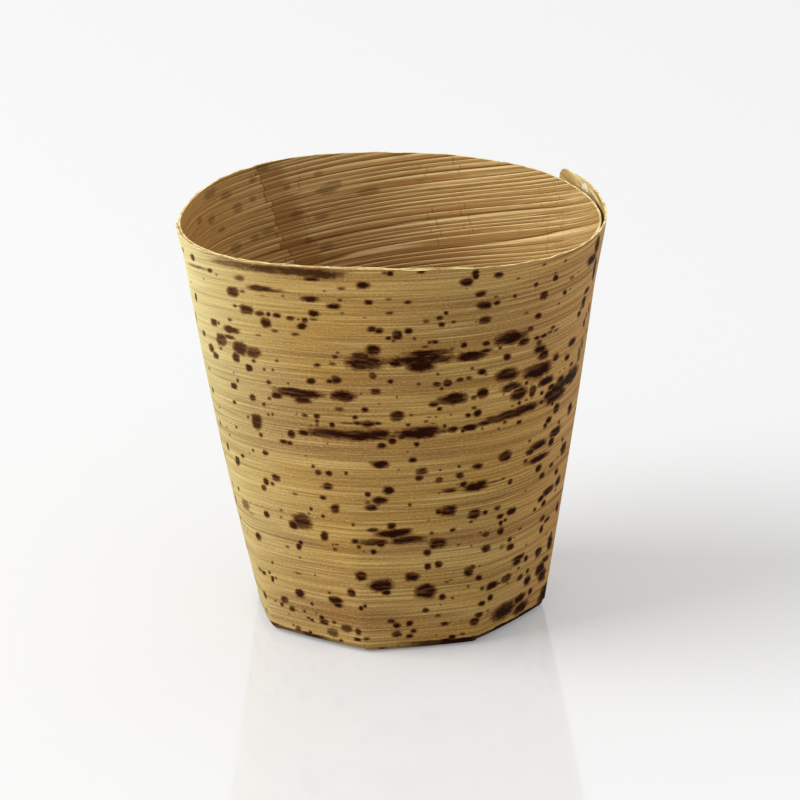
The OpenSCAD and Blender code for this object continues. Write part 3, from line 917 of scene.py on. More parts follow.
MIDDLE_RIGHT = [
    (160, 187, 14, 10), (470, 70, 95, 36), (328, 106, 34, 18), (370, 140, 18, 14),
    (875, 5, 35, 12), (848, 33, 8, 7), (960, 35, 55, 36), (1060, 25, 20, 28),
    (1235, 40, 70, 40), (965, 95, 12, 14), (1018, 72, 10, 10), (913, 120, 10, 8),
    (1131, 90, 16, 14), (1213, 103, 9, 12), (627, 134, 16, 12), (585, 190, 20, 16),
    (652, 175, 30, 26), (455, 183, 10, 7), (343, 201, 10, 7), (292, 204, 14, 5),
    (270, 236, 14, 9), (320, 250, 18, 6), (408, 272, 14, 14), (215, 322, 150, 40),
    (270, 300, 100, 30), (90, 345, 30, 22), (405, 310, 24, 12), (465, 295, 36, 22),
    (595, 280, 60, 24), (720, 245, 60, 16), (800, 215, 90, 26), (900, 180, 100, 30),
    (1010, 140, 95, 30), (545, 305, 16, 14), (688, 287, 10, 9), (811, 291, 8, 10),
    (965, 240, 18, 14), (858, 240, 14, 12), (200, 405, 18, 16), (1243, 135, 20, 32),
    (1342, 140, 18, 34), (1185, 225, 20, 22), (1160, 265, 14, 18), (1262, 240, 8, 12),
    (1235, 310, 36, 30), (1203, 385, 20, 26), (1043, 378, 10, 10), (1288, 367, 7, 14),
    (1045, 462, 28, 22), (1110, 410, 55, 28), (1108, 512, 75, 22), (1295, 432, 22, 36),
    (1287, 480, 7, 8), (1250, 497, 5, 6), (1110, 585, 22, 22), (1012, 530, 14, 12),
    (1205, 560, 12, 16), (1132, 642, 18, 20), (1242, 608, 12, 20), (862, 495, 44, 36),
    (655, 568, 34, 20), (517, 570, 11, 11), (522, 637, 26, 20), (376, 597, 10, 9),
    (170, 522, 28, 16), (131, 461, 8, 6), (237, 605, 38, 22), (216, 658, 26, 20),
    (367, 672, 26, 20), (640, 722, 85, 32), (547, 705, 26, 20), (680, 700, 45, 24),
    (780, 685, 50, 7), (845, 662, 14, 10), (445, 750, 46, 16), (368, 769, 9, 7),
    (505, 705, 8, 7), (898, 684, 16, 18), (1010, 753, 7, 7), (1253, 680, 18, 28),
    (1185, 748, 34, 26), (1127, 810, 20, 20), (1147, 845, 14, 20), (1080, 892, 10, 12),
    (1235, 748, 7, 8), (148, 858, 11, 11), (5, 755, 20, 24), (435, 902, 55, 36),
    (365, 908, 22, 20), (630, 928, 42, 34), (605, 983, 14, 10), (711, 914, 18, 16),
    (802, 880, 22, 16), (905, 907, 30, 26), (822, 943, 24, 18), (860, 970, 14, 12),
    (826, 994, 14, 18), (1137, 958, 16, 18), (1172, 967, 18, 14), (1130, 1038, 12, 24),
    (1167, 1074, 6, 6), (1203, 1068, 6, 10), (1247, 875, 10, 28), (75, 1065, 80, 26),
    (140, 1118, 120, 26), (20, 1090, 40, 16), (312, 1070, 16, 12), (313, 1115, 11, 9),
    (468, 1046, 20, 14), (288, 972, 6, 6), (362, 1142, 58, 34), (330, 1165, 30, 20),
    (278, 1215, 26, 24), (512, 1155, 11, 9), (608, 1164, 10, 8), (718, 1077, 26, 18),
    (826, 1053, 24, 24), (675, 1065, 8, 8), (970, 1038, 10, 9), (892, 1118, 16, 14),
    (928, 1105, 6, 6), (718, 1183, 32, 26), (898, 1172, 24, 22), (835, 1170, 16, 20, 0.4),
    (1193, 1135, 16, 45), (1108, 1210, 20, 30), (955, 1255, 40, 20), (1015, 1258, 12, 20),
    (1160, 1260, 22, 20), (1018, 1155, 6, 6), (1240, 1050, 8, 40), (1222, 1170, 4, 10)]
LOWER_LEFT = [
    (345, 22, 10, 14), (580, 122, 30, 9), (740, 140, 10, 8), (230, 85, 20, 12),
    (268, 118, 16, 16), (318, 115, 12, 14), (347, 175, 14, 26), (378, 165, 7, 12),
    (1162, 148, 50, 40), (1345, 235, 105, 52), (1395, 300, 36, 24), (600, 308, 38, 40),
    (1075, 300, 36, 34), (870, 303, 14, 14), (710, 405, 14, 14), (925, 370, 60, 32),
    (955, 415, 38, 22), (895, 360, 32, 24), (275, 320, 18, 24), (455, 365, 30, 30),
    (435, 410, 16, 18), (530, 447, 26, 22), (373, 376, 8, 10), (1162, 445, 18, 20),
    (1200, 425, 16, 16), (643, 470, 12, 12), (750, 489, 8, 9), (570, 458, 6, 6),
    (615, 460, 5, 5), (293, 457, 12, 14), (500, 500, 8, 6), (680, 535, 18, 12),
    (712, 553, 16, 14), (800, 530, 20, 18), (825, 572, 40, 24), (915, 575, 18, 14),
    (1030, 628, 46, 36, 0.8), (905, 668, 46, 38, 0.7), (1137, 662, 30, 28), (1440, 565, 34, 20),
    (1490, 605, 32, 22), (1490, 685, 40, 26), (585, 635, 26, 26, 0.7), (540, 600, 10, 10),
    (697, 668, 16, 18), (1130, 732, 32, 16), (1212, 728, 28, 14), (980, 742, 18, 14),
    (1355, 826, 36, 14), (1505, 797, 12, 8), (365, 590, 35, 14), (430, 622, 40, 10),
    (500, 640, 40, 8), (185, 165, 5, 25)]
LOWER_RIGHT = [
    (258, 60, 32, 28), (357, 38, 34, 30), (735, 55, 11, 10), (110, 155, 62, 38),
    (238, 290, 95, 62), (250, 240, 40, 20), (388, 340, 30, 26), (485, 350, 14, 12),
    (378, 414, 10, 7), (236, 462, 28, 20), (350, 515, 24, 14), (430, 202, 18, 10),
    (468, 185, 14, 8), (632, 110, 38, 40), (670, 65, 24, 20), (727, 163, 30, 24),
    (628, 243, 12, 12), (1075, 18, 34, 26), (1093, 76, 10, 12), (1158, 3, 14, 8),
    (1022, 87, 6, 6), (760, 262, 18, 16), (850, 235, 48, 34), (910, 215, 20, 12),
    (978, 170, 42, 32), (990, 210, 12, 10), (1105, 163, 22, 22), (1175, 185, 28, 36),
    (1175, 100, 12, 20), (1290, 80, 36, 50), (1310, 140, 30, 50), (835, 345, 22, 26),
    (755, 402, 28, 24), (730, 505, 36, 22), (810, 468, 11, 10), (688, 570, 42, 32),
    (960, 465, 95, 62), (1100, 355, 45, 34), (1110, 440, 55, 40), (1200, 290, 16, 26),
    (1160, 410, 6, 8), (88, 585, 32, 26), (125, 655, 26, 18), (88, 702, 32, 18),
    (5, 690, 12, 14), (5, 605, 8, 12), (413, 590, 36, 18), (335, 691, 8, 8), (478, 710, 30, 18),
    (575, 682, 20, 12), (1335, 290, 30, 60), (1318, 350, 40, 50), (122, 765, 10, 8)]
VIEWS = [
    ((160, 230), 6.533, UPPER_LEFT),
    ((380, 230), 6.533, UPPER_RIGHT),
    ((190, 390), 7.127, MIDDLE_LEFT),
    ((390, 390), 7.467, MIDDLE_RIGHT),
    ((235, 560), 9.224, LOWER_LEFT),
    ((400, 560), 9.224, LOWER_RIGHT)]
print("spots read:", sum(len(spots) for *_, spots in VIEWS))

# %% From a pixel to the leaf
NEAR_WALL = DISTANCE - 48
MIDDLE_WALL = DISTANCE + 12
RAY_STEPS = 400
OUTER_FROM = CUP.wrap_to - 360
INNER_FROM = CUP.liner_to - 360


def wall_face(standoff, depth):
    """The radius of a ply's face that lies at a depth in it."""
    return lambda a, z: wall_radius(CUP, a, z) + standoff(CUP, a, z) + depth


def rays(pixels):
    """Unit directions from the eye through points of the picture."""
    across = (pixels[:, 0] - IMAGE / 2) / FOCAL
    down = (pixels[:, 1] - IMAGE / 2) / FOCAL
    way = np.array(ahead) + across[:, None] * np.array(right) - down[:, None] * np.array(up)
    return way / np.linalg.norm(way, axis=1, keepdims=True)


def met(pixels, start, end, first_turn, radius_at, fan):
    """Where rays cross a wall, as places on its leaf; nan where they miss."""
    away = np.linspace(start, end, RAY_STEPS)
    from_axis = np.array(eye - foot_middle.xy.to_3d())
    points = from_axis + rays(pixels)[:, None] * away[:, None]
    a = first_turn + np.mod(np.degrees(np.arctan2(points[..., 1], points[..., 0])) - first_turn, 360)
    z = points[..., 2]
    gap = np.hypot(points[..., 0], points[..., 1]) - radius_at(a, z)
    crosses = gap[:, :-1] * gap[:, 1:] < 0
    k = crosses.argmax(1)
    n = np.arange(len(k))
    share = gap[n, k] / (gap[n, k] - gap[n, k + 1])
    x, y = unrolled(*(v[n, k] + (v[n, k + 1] - v[n, k]) * share for v in (a, z)), fan)
    return np.where(crosses.any(1), x, np.nan), np.where(crosses.any(1), y, np.nan)


# %% The spots on the leaf
PIXEL = DISTANCE / FOCAL
WIDEST_PIXEL = 2.3 * PIXEL


def pixel_span(pixels, way, wall):
    """How far a pixel reaches on the leaf, along it for way 0 and across it for way 1."""
    half = np.eye(2)[way] / 2
    span = np.abs(met(pixels + half, *wall)[way] - met(pixels - half, *wall)[way])
    return np.clip(np.nan_to_num(span, nan=WIDEST_PIXEL), PIXEL, WIDEST_PIXEL)


def on_leaf(spots, *wall):
    """Spots of the picture as (x, y, half-length, half-height, strength) on a leaf."""
    pixels = spots[:, :2]
    x, y = met(pixels, *wall)
    scales = [pixel_span(pixels, way, wall) for way in (0, 1)]
    found = np.stack([x, y, spots[:, 2] * scales[0], spots[:, 3] * scales[1], spots[:, 4]], 1)
    return found[np.isfinite(x)]


def spots_of(views):
    """The spots of several views, in pixels of the picture."""
    return np.array([
        [corner[0] + across / zoom, corner[1] + down / zoom, length / zoom, height / zoom,
         *(strength or [1.0])]
        for corner, zoom, spots in views for across, down, length, height, *strength in spots])


outer_wall = (NEAR_WALL, MIDDLE_WALL, OUTER_FROM, wall_face(wrap_standoff, CUP.ply), WRAP_FAN)
seen_spots = on_leaf(spots_of(VIEWS), *outer_wall)
print("spots on the wall:", len(seen_spots))
print("their median half-length, mm:", round(np.median(seen_spots[:, 2]), 2))

# %% Spots that the picture doesn't show
SEEN_TURNS = (188.0, 352.0)
STREWN_SEED = 21
SINGLES = 900
SINGLE_LENGTH = (0.44, 0.5)
FOOT_SINGLES = 170
FOOT_LENGTH = (0.42, 0.45)
PLUMPNESS = (0.5, 1.1)
HALF_HEIGHTS = (0.15, 0.9)
STREAKS = 26
STREAK_SPOTS = (4, 9)
STREAK_SPREAD = (4.5, 0.55)
STREAK_LENGTHS = (1.2, 4.2)
STREAK_HEIGHTS = (0.35, 0.8)
STREAK_MARGINS = (4, 3)


def direction_on(x, y, fan):
    """The direction round the cup of a place on the leaf."""
    return fan.turn + np.degrees(np.arctan2(x, y - bent(x, fan))) / FAN_SINE


def strewn(random, count, turns, heights, length, spread):
    """Single spots, evenly over a stretch of leaf, of a median half-length and its spread."""
    x, y = unrolled(random.uniform(*turns, count), random.uniform(*heights, count), WRAP_FAN)
    length = length * np.exp(random.normal(0, spread, count))
    height = np.clip(length * random.uniform(*PLUMPNESS, count), *HALF_HEIGHTS)
    return np.stack([x, y, length, height, np.ones(count)], 1)


def streak(random, turns, heights):
    """A dark streak: spots that have run together along the fibres."""
    count = random.integers(*STREAK_SPOTS)
    x, y = unrolled(random.uniform(*turns), random.uniform(*heights), WRAP_FAN)
    x, y = (way + random.normal(0, spread, count) for way, spread in zip((x, y), STREAK_SPREAD))
    length, height = (random.uniform(*sizes, count) for sizes in (STREAK_LENGTHS, STREAK_HEIGHTS))
    return np.stack([x, y, length, height, np.ones(count)], 1)


random = np.random.default_rng(STREWN_SEED)
WOUND = (CUP.wrap_from, CUP.wrap_to)
STREAK_WALL = (CUP.fold + STREAK_MARGINS[0], CUP.height - STREAK_MARGINS[1])
singles = strewn(random, SINGLES, WOUND, (CUP.fold, CUP.height), *SINGLE_LENGTH)
streaks = [streak(random, WOUND, STREAK_WALL) for _ in range(STREAKS)]
hidden = np.concatenate([singles, *streaks])
turns = direction_on(hidden[:, 0], hidden[:, 1], WRAP_FAN)
hidden = hidden[(turns < SEEN_TURNS[0]) | (turns > SEEN_TURNS[1])]
under = strewn(random, FOOT_SINGLES, WOUND, (-TAB_LENGTH, CUP.fold), *FOOT_LENGTH)
wrap_spots = np.concatenate([seen_spots, hidden, under])
print("spots made up for the sides, back and foot:", len(hidden) + len(under))

# %% [markdown]
# The inner ply is a sheath too, with its spotted side against the outer ply. Its
# spots show through the ribbed side as soft grey-brown ghosts, read off two views
# of the inside.

# %% Ghosts of the inner ply's spots
INSIDE_LEFT = [
    (800, 205, 60, 40), (320, 455, 50, 35), (470, 465, 45, 30), (715, 500, 30, 25),
    (575, 580, 40, 40), (335, 690, 30, 30), (715, 325, 30, 25), (860, 795, 55, 30),
    (740, 850, 40, 25), (1130, 635, 60, 30), (1030, 390, 30, 22), (1320, 265, 40, 20),
    (1400, 410, 90, 40), (1460, 370, 70, 30), (1350, 660, 60, 25), (1230, 880, 40, 25),
    (1400, 940, 60, 30), (560, 950, 50, 35), (225, 700, 25, 30), (430, 780, 30, 20)]
INSIDE_RIGHT = [
    (610, 75, 90, 25), (790, 325, 40, 12), (310, 430, 90, 30), (20, 360, 40, 30)]
GHOST_VIEWS = [((175, 145), 9.224, INSIDE_LEFT), ((335, 145), 9.224, INSIDE_RIGHT)]
CUP_MIDDLE = DISTANCE - 10
FAR_WALL = DISTANCE + 60

inner_wall = (CUP_MIDDLE, FAR_WALL, INNER_FROM, wall_face(liner_standoff, -CUP.ply), LINER_FAN)
ghosts = on_leaf(spots_of(GHOST_VIEWS), *inner_wall)
print("ghosts:", len(ghosts))

# %% Giving each face its spots
SPOTS_EACH = 6
FACES_AT_ONCE = 4000
REACH = 2.2
SOFT = 0.4
SOFTNESS = (0.4, 1.5)
PALE_BELOW = 0.34
PALEST = 0.6


def mark_spots(slab, mesh, spots):
    """Store on every face the few spots that reach it."""
    leaf = np.concatenate(slab.leaf)[:, :2]
    corners = np.empty(len(mesh.loops), np.int32)
    mesh.loops.foreach_get("vertex_index", corners)
    starts = np.empty(len(mesh.polygons), np.int32)
    mesh.polygons.foreach_get("loop_start", starts)
    low, high = (way.reduceat(leaf[corners], starts) for way in (np.minimum, np.maximum))
    middle, half = (low + high) / 2, (high - low) / 2
    chosen = np.zeros((len(starts), SPOTS_EACH), int)
    gap = np.zeros((len(starts), SPOTS_EACH))
    for part in np.array_split(np.arange(len(starts)), 1 + len(starts) // FACES_AT_ONCE):
        aside = np.maximum(np.abs(middle[part, None] - spots[:, :2]) - half[part, None], 0)
        off = np.hypot(*np.moveaxis(aside / spots[:, 2:4], -1, 0))
        chosen[part] = np.argpartition(off, SPOTS_EACH, axis=1)[:, :SPOTS_EACH]
        gap[part] = np.take_along_axis(off, chosen[part], 1)
    length, height = spots[:, 2], spots[:, 3]
    strength = spots[:, 4] * np.clip(height / PALE_BELOW, PALEST, 1)
    soft = np.clip(SOFT / height, *SOFTNESS)
    for number in range(SPOTS_EACH):
        near = (gap[:, number] < REACH)[:, None]
        at = np.stack([spots[:, 0], spots[:, 1], strength], 1)[chosen[:, number]] * near
        size = np.stack([1 / length, 1 / height, soft], 1)[chosen[:, number]]
        for name, values in (("at", at), ("size", size)):
            stored = mesh.attributes.new(f"spot_{number}_{name}", "FLOAT_VECTOR", "FACE")
            stored.data.foreach_set("vector", values.astype(np.float32).ravel())
    print(slab.name, "faces with every place taken:", int((gap.max(1) < 1).sum()), "of", len(starts))


# %% [markdown]
# ## Finishes
#
# Every finish reads `leaf`, the point's place on the flat leaf in millimetres, so
# fibres and spots run with the sheet. A pattern is a noise, written as its scale
# along and across the leaf, its detail, its roughness and its seed. `step` turns
# it into patches with soft edges, and `layered` lays colours over each other, each
# as far as its patches say.

# %% Helpers for finishes
LEAF_SPECULAR = 0.01


def attribute(tree, name, out=1):
    return node(tree, "ShaderNodeAttribute", {"attribute_name": name}, out=out)


def leaf_place(tree):
    return attribute(tree, "leaf").parts()[:2]


def step(x, low, high):
    return ease((x - low) / (high - low))


def about(at, pattern):
    """A pattern from -0.5 to 0.5, to push other things to and fro."""
    return noise(at, *pattern) - 0.5


def layered(shade, *layers):
    """A colour with further ones over it, each as (how much, colour)."""
    for amount, tint in layers:
        shade = mixed(amount, shade, tint)
    return shade


def sheen(pattern, spread, least, place=leaf_place):
    """Roughness that wanders with a pattern."""
    return lambda tree: noise(place(tree), *pattern) * spread + least


def relief(pattern, place=leaf_place):
    """Surface height that is one pattern."""
    return lambda tree: noise(place(tree), *pattern)


def finish_tree(name, base, roughness, height, depth, specular=LEAF_SPECULAR):
    """A material from its colour, roughness and surface height, where 1 is depth."""
    material = bpy.data.materials.new(name)
    material.use_nodes = True
    tree = material.node_tree
    tree.nodes.clear()
    bump = node(tree, "ShaderNodeBump", {}, {
        "Strength": 1.0, "Distance": depth * MM, "Height": height(tree)})
    shader = node(tree, "ShaderNodeBsdfPrincipled", {}, {
        "Base Color": base(tree), "Roughness": roughness(tree), "Normal": bump,
        "Specular IOR Level": specular})
    node(tree, "ShaderNodeOutputMaterial", {}, [shader])
    return material


# %% [markdown]
# ### The spotted skin
#
# The skin is honey-coloured, with bands and fine fibres along the leaf, dark
# hairlines and rows of pale dots. Towards one end it turns russet and towards the
# other pale as straw, laid on more thickly on the side that the lamp lights, as
# painted light; the upper part of that side gets a painted highlight. The spots
# are a black-brown mould stain with a warm edge.
# Their places come as face attributes: each small face of the mesh carries the few
# spots that reach it, so the shader stays short, however many spots the cup has.
# Along the fold of the foot lies a ragged dark line of painted shade, stronger
# on the right and patchy.

# %% Colours and patterns of the skin
HONEY = colour(178, 144, 84)
TAN = colour(148, 111, 64)
OCHRE = colour(170, 131, 64)
# The next colour is pale straw, and it is also painted light on the lit side.
STRAW_AND_LIGHT = colour(196, 182, 126)
RUSSET = colour(216, 164, 102)
RED_LINE = colour(112, 70, 40)
# The next colour is a painted highlight, for the lit upper left of the wall.
PAINTED_HIGHLIGHT = colour(240, 226, 166)
FIBRE = colour(104, 70, 34)
HAIRLINE = colour(74, 44, 22)
PALE = colour(218, 196, 128)
# The next colour is the spots' black-brown, also used for painted shade on the fold of the foot.
SPOT_AND_SHADE = colour(38, 14, 6)
SPOT_EDGE = colour(104, 64, 32)

THREADS = (0.04, 2.3, 2.0, 0.7, 1.0)
STRANDS = (0.015, 0.8, 3.0, 0.65, 2.0)
BANDS = (0.01, 0.17, 3.0, 0.5, 3.0)
BLOTCHES = (0.03, 0.06, 2.0, 0.5, 4.0)
HAIRLINES = (0.008, 2.1, 1.0, 0.5, 5.0)
HAIRLINE_BREAKS = (0.03, 0.25, 1.0, 0.5, 6.0)
DOT_ROWS = (0.006, 1.7, 1.0, 0.5, 7.0)
DOTS = (1.3, 2.6, 1.0, 0.5, 8.0)
SPOT_FRINGE = (0.4, 2.2, 3.0, 0.65, 9.0)
GRAIN = (2.2, 3.4, 2.0, 0.7, 10.0)
SKIN_SHEEN = (0.1, 2.0, 2.0, 0.5, 11.0)
# Patches in the painted shade along the fold of the foot.
FOOT_SHADE_PATCHES = (0.12, 0.12, 2.0, 0.5, 12.0)
MOTTLE = (0.25, 1.3, 3.0, 0.6, 13.0)
RED_THREADS = (0.01, 2.9, 1.0, 0.5, 14.0)
SPOT_LOBES = (0.7, 0.9, 1.0, 0.5, 15.0)
# The ragged edge of the painted shade along the fold of the foot.
FOOT_SHADE_RAGS = (0.35, 0.35, 2.0, 0.5, 16.0)

# %% Spots in a material
BLUNT = 2.3
CORE_EDGE = 0.9
RIM_EDGE = 1.2


def spot_masks(tree, at, feather):
    """How much of the spots' cores and of their rims lies at a point."""
    x, y = at
    core = rim = None
    for number in range(SPOTS_EACH):
        spot_x, spot_y, strength = attribute(tree, f"spot_{number}_at").parts()
        along, across, soft = attribute(tree, f"spot_{number}_size").parts()
        away = abs((x - spot_x) * along) ** BLUNT + abs((y - spot_y) * across) ** BLUNT
        away = away ** (1 / BLUNT) + feather
        here = ease((CORE_EDGE - away) / soft + 0.5) * strength
        near = ease((RIM_EDGE - away) / soft + 0.5) * strength
        core = here if core is None else core.math("MAXIMUM", here)
        rim = near if rim is None else rim.math("MAXIMUM", near)
    return core, rim


# %% [markdown]
# What changes along the leaf is written as the two places between which it comes in,
# in millimetres from where the fibres are level. What changes with the height is
# written in the same way.

# %% Skin
SKIN_DEPTH = 0.1
RUSSET_FROM = (8.0, 40.0)
# Where the straw and its painted light come in, and the side that the lamp lights.
STRAW_AND_LIGHT_FROM = (-10.0, -46.0)
LIT_SIDE_FROM = (-110.0, -64.0)
# Where the painted highlight lies: along the leaf, and up the wall.
HIGHLIGHT_FROM = (-30.0, -58.0)
HIGHLIGHT_ABOVE = (38.0, 66.0)
REDDER_FROM = (-30.0, 30.0)
FADED_FROM = (-8.0, -50.0)
# The painted shade along the fold of the foot, and how dark it is on the right and on the left.
FOOT_SHADE_TOP = 1.7
FOOT_SHADE_SOFT = 0.2
FOOT_SHADE_RAGGED = 0.8
FOOT_SHADE_ABOVE = (-0.5, 0.2)
DARK_RIGHT_FROM = (-3.0, 3.0)
DARK_LEFT_FROM = (-13.0, -17.0)


def leaf_height(x, y, fan):
    """Height up the wall of a place on the leaf."""
    along = y - bent(x, fan)
    return ((x * x + along * along) ** 0.5 * FAN_SINE - FOOT_RADIUS) / SLOPE + CUP.fold


def skin_fibres(at):
    """The patterns that the skin's colour and its relief share."""
    return [noise(at, *pattern) for pattern in (THREADS, STRANDS, GRAIN)]


def foot_fold_shade(at, height):
    """Painted shade along the fold of the foot: where it lies, and how dark it is."""
    x, _ = at
    ragged = height + about(at, FOOT_SHADE_RAGS) * FOOT_SHADE_RAGGED
    line = step(ragged, FOOT_SHADE_TOP, FOOT_SHADE_TOP - FOOT_SHADE_SOFT)
    dark = step(x, *DARK_RIGHT_FROM) * 0.8 + step(x, *DARK_LEFT_FROM) * 0.5 + 0.1
    dark = dark + step(noise(at, *FOOT_SHADE_PATCHES), 0.42, 0.56) * 0.35
    return line * step(height, *FOOT_SHADE_ABOVE) * dark


def skin_colour(tree):
    at = leaf_place(tree)
    x, y = at
    threads, strands, grain = skin_fibres(at)
    height = leaf_height(x, y, WRAP_FAN)
    # The side that the lamp lights, where painted light is laid on.
    lit_side = step(x, *LIT_SIDE_FROM)
    reddish = step(noise(at, *RED_THREADS), 0.54, 0.66) * (step(x, *REDDER_FROM) * 0.5 + 0.1)
    hairs = step(noise(at, *HAIRLINES), 0.66, 0.72) * step(noise(at, *HAIRLINE_BREAKS), 0.4, 0.55)
    dots = step(noise(at, *DOT_ROWS), 0.64, 0.7) * step(noise(at, *DOTS), 0.5, 0.6)
    feather = about(at, SPOT_FRINGE) * 0.65 + (grain - 0.5) * 0.35 + about(at, SPOT_LOBES) * 0.7
    core, rim = spot_masks(tree, at, feather)
    mottle = step(strands, 0.52, 0.7) * 0.25 + step(noise(at, *MOTTLE), 0.5, 0.64) * 0.4
    fresh = 1 - step(x, *FADED_FROM) * 0.25
    return layered(
        HONEY,
        (step(noise(at, *BANDS), 0.38, 0.6), TAN),
        (step(noise(at, *BLOTCHES), 0.42, 0.62) * 0.7, OCHRE),
        (step(x, *RUSSET_FROM) * 0.68, RUSSET),
        # Pale straw towards one end, laid on more thickly on the lit side as painted light.
        (step(x, *STRAW_AND_LIGHT_FROM) * (lit_side * 0.55 + 0.3), STRAW_AND_LIGHT),
        (step(strands, 0.48, 0.7) * 0.45, FIBRE),
        (step(threads, 0.5, 0.68) * 0.38, FIBRE),
        (step(threads, 0.48, 0.32) * 0.4, PALE),
        (step(grain, 0.5, 0.75) * 0.32, PALE),
        (step(grain, 0.5, 0.25) * 0.35, FIBRE),
        (reddish, RED_LINE),
        (hairs * 0.55, HAIRLINE),
        (dots * 0.35, PALE),
        # A painted highlight on the lit upper left of the wall.
        (step(height, *HIGHLIGHT_ABOVE) * step(x, *HIGHLIGHT_FROM) * lit_side * 0.6, PAINTED_HIGHLIGHT),
        # Painted shade along the fold of the foot.
        (foot_fold_shade(at, height), SPOT_AND_SHADE),
        (rim * 0.8, SPOT_EDGE),
        (core * (1 - mottle) * fresh, SPOT_AND_SHADE))


def skin_height(tree):
    threads, strands, grain = skin_fibres(leaf_place(tree))
    return threads * 0.6 + strands + grain * 0.3


skin = finish_tree("sheath_skin", skin_colour, sheen(SKIN_SHEEN, 0.25, 0.38), skin_height, SKIN_DEPTH)
print("skin's nodes:", len(skin.node_tree.nodes))

# %% [markdown]
# ### The ribbed inside
#
# The ribs are buff. Painted shade darkens the grooves and the lower side of each
# rib, and a painted highlight lies along each rib's upper back. The inside of the
# left wall, which faces away from the lamp, gets painted light. Fine veins cross
# the ribs, each rib's a little aside of the next, and the patches between two
# veins differ in tone. The first vein slants and is bolder than the others, with a
# darker, flaky band beside it. The spots of the other side show through as
# grey-brown ghosts.

# %% Colours and patterns of the inside
# The next colour is pale fibre lines, and also a painted highlight on the rib backs.
PALE_LINES_AND_HIGHLIGHT = colour(220, 196, 140)
RIB = colour(181, 142, 86)
RIB_DULL = colour(151, 111, 61)
RIB_DRY = colour(164, 136, 82)
# The next colour is the leaf's red-brown, also painted shade on the ribs' lower sides.
RIB_RED_AND_SHADE = colour(140, 98, 52)
# The next colour is warm painted light for the inside of the left wall.
RIB_PAINTED_LIGHT = colour(216, 166, 98)
# The next colour darkens the veins, and is painted shade in the grooves.
VEIN_AND_GROOVE_SHADE = colour(82, 48, 22)
GHOST = colour(92, 66, 40)

INSIDE_TONE = (0.02, 0.1, 3.0, 0.5, 22.0)
INSIDE_FIBRES = (0.03, 1.9, 3.0, 0.7, 23.0)
GHOST_FRINGE = (0.3, 1.4, 3.0, 0.6, 24.0)
INSIDE_SHEEN = (0.1, 2.0, 2.0, 0.5, 25.0)
VEIN_BREAKS = (0.05, 0.3, 1.0, 0.5, 26.0)
FINE_FIBRES = (0.3, 3.4, 2.0, 0.6, 27.0)
FINE_LINES = (0.015, 3.6, 2.0, 0.6, 28.0)

# %% Veins
VEIN_PIXELS = [(280, 219), (312, 240), (433, 219), (468, 228), (545, 218), (561, 224)]
VEIN_WIDTH = 0.14
VEIN_STEPS = 1.8
FIRST_MIDDLE = 55.0
FIRST_SLANT = 0.2
FIRST_BOLDER = 1.4
FLAKY_EDGE = 0.1
FLAKY_WIDTH = 6.5
FLAKY_FADE = 2.5

veins = [float(place) for place in met(np.array(VEIN_PIXELS, float), *inner_wall)[0]]
print("veins across the inside, mm along the leaf:", np.round(veins, 1))


def vein_mask(line, place, width):
    return step(abs(line - place), width, width / 2)


def vein_masks(tree, at, rib):
    """The veins, the flaky band beside the first, and a tone for each patch between two."""
    x, y = at
    own = node(tree, "ShaderNodeTexWhiteNoise", {"noise_dimensions": "1D"}, {"W": rib})
    along = x + (own - 0.5) * VEIN_STEPS
    slanted = along - (leaf_height(x, y, LINER_FAN) - FIRST_MIDDLE) * FIRST_SLANT
    lines = cell = 0.0
    for place, line in zip(veins, [slanted] + [along] * (len(veins) - 1)):
        lines = lines + vein_mask(line, place, VEIN_WIDTH)
        cell = cell + line.math("GREATER_THAN", place)
    patch = node(tree, "ShaderNodeTexWhiteNoise", {"noise_dimensions": "2D"},
                 {"Vector": vector(tree, cell, rib)})
    first = veins[0]
    broken = lines.clamped() * step(noise(at, *VEIN_BREAKS), 0.45, 0.58) * 0.42
    bold = vein_mask(slanted, first, VEIN_WIDTH * FIRST_BOLDER) * 0.5
    flaky = (step(slanted, first + FLAKY_EDGE, first - FLAKY_EDGE)
             * step(slanted, first - FLAKY_WIDTH, first - FLAKY_WIDTH + FLAKY_FADE))
    return broken.math("MAXIMUM", bold), flaky * (patch * 0.5 + 0.25), patch


# %% Inside
INSIDE_DEPTH = 0.2
DRY_FROM = (-36.0, -70.0)
# Where the painted light on the inside of the left wall comes in.
PAINTED_LIGHT_FROM = (-21.0, 13.0)


def inside_fibres(at):
    """The patterns that the inside's colour and its relief share."""
    return [noise(at, *pattern) for pattern in (INSIDE_FIBRES, FINE_FIBRES)]


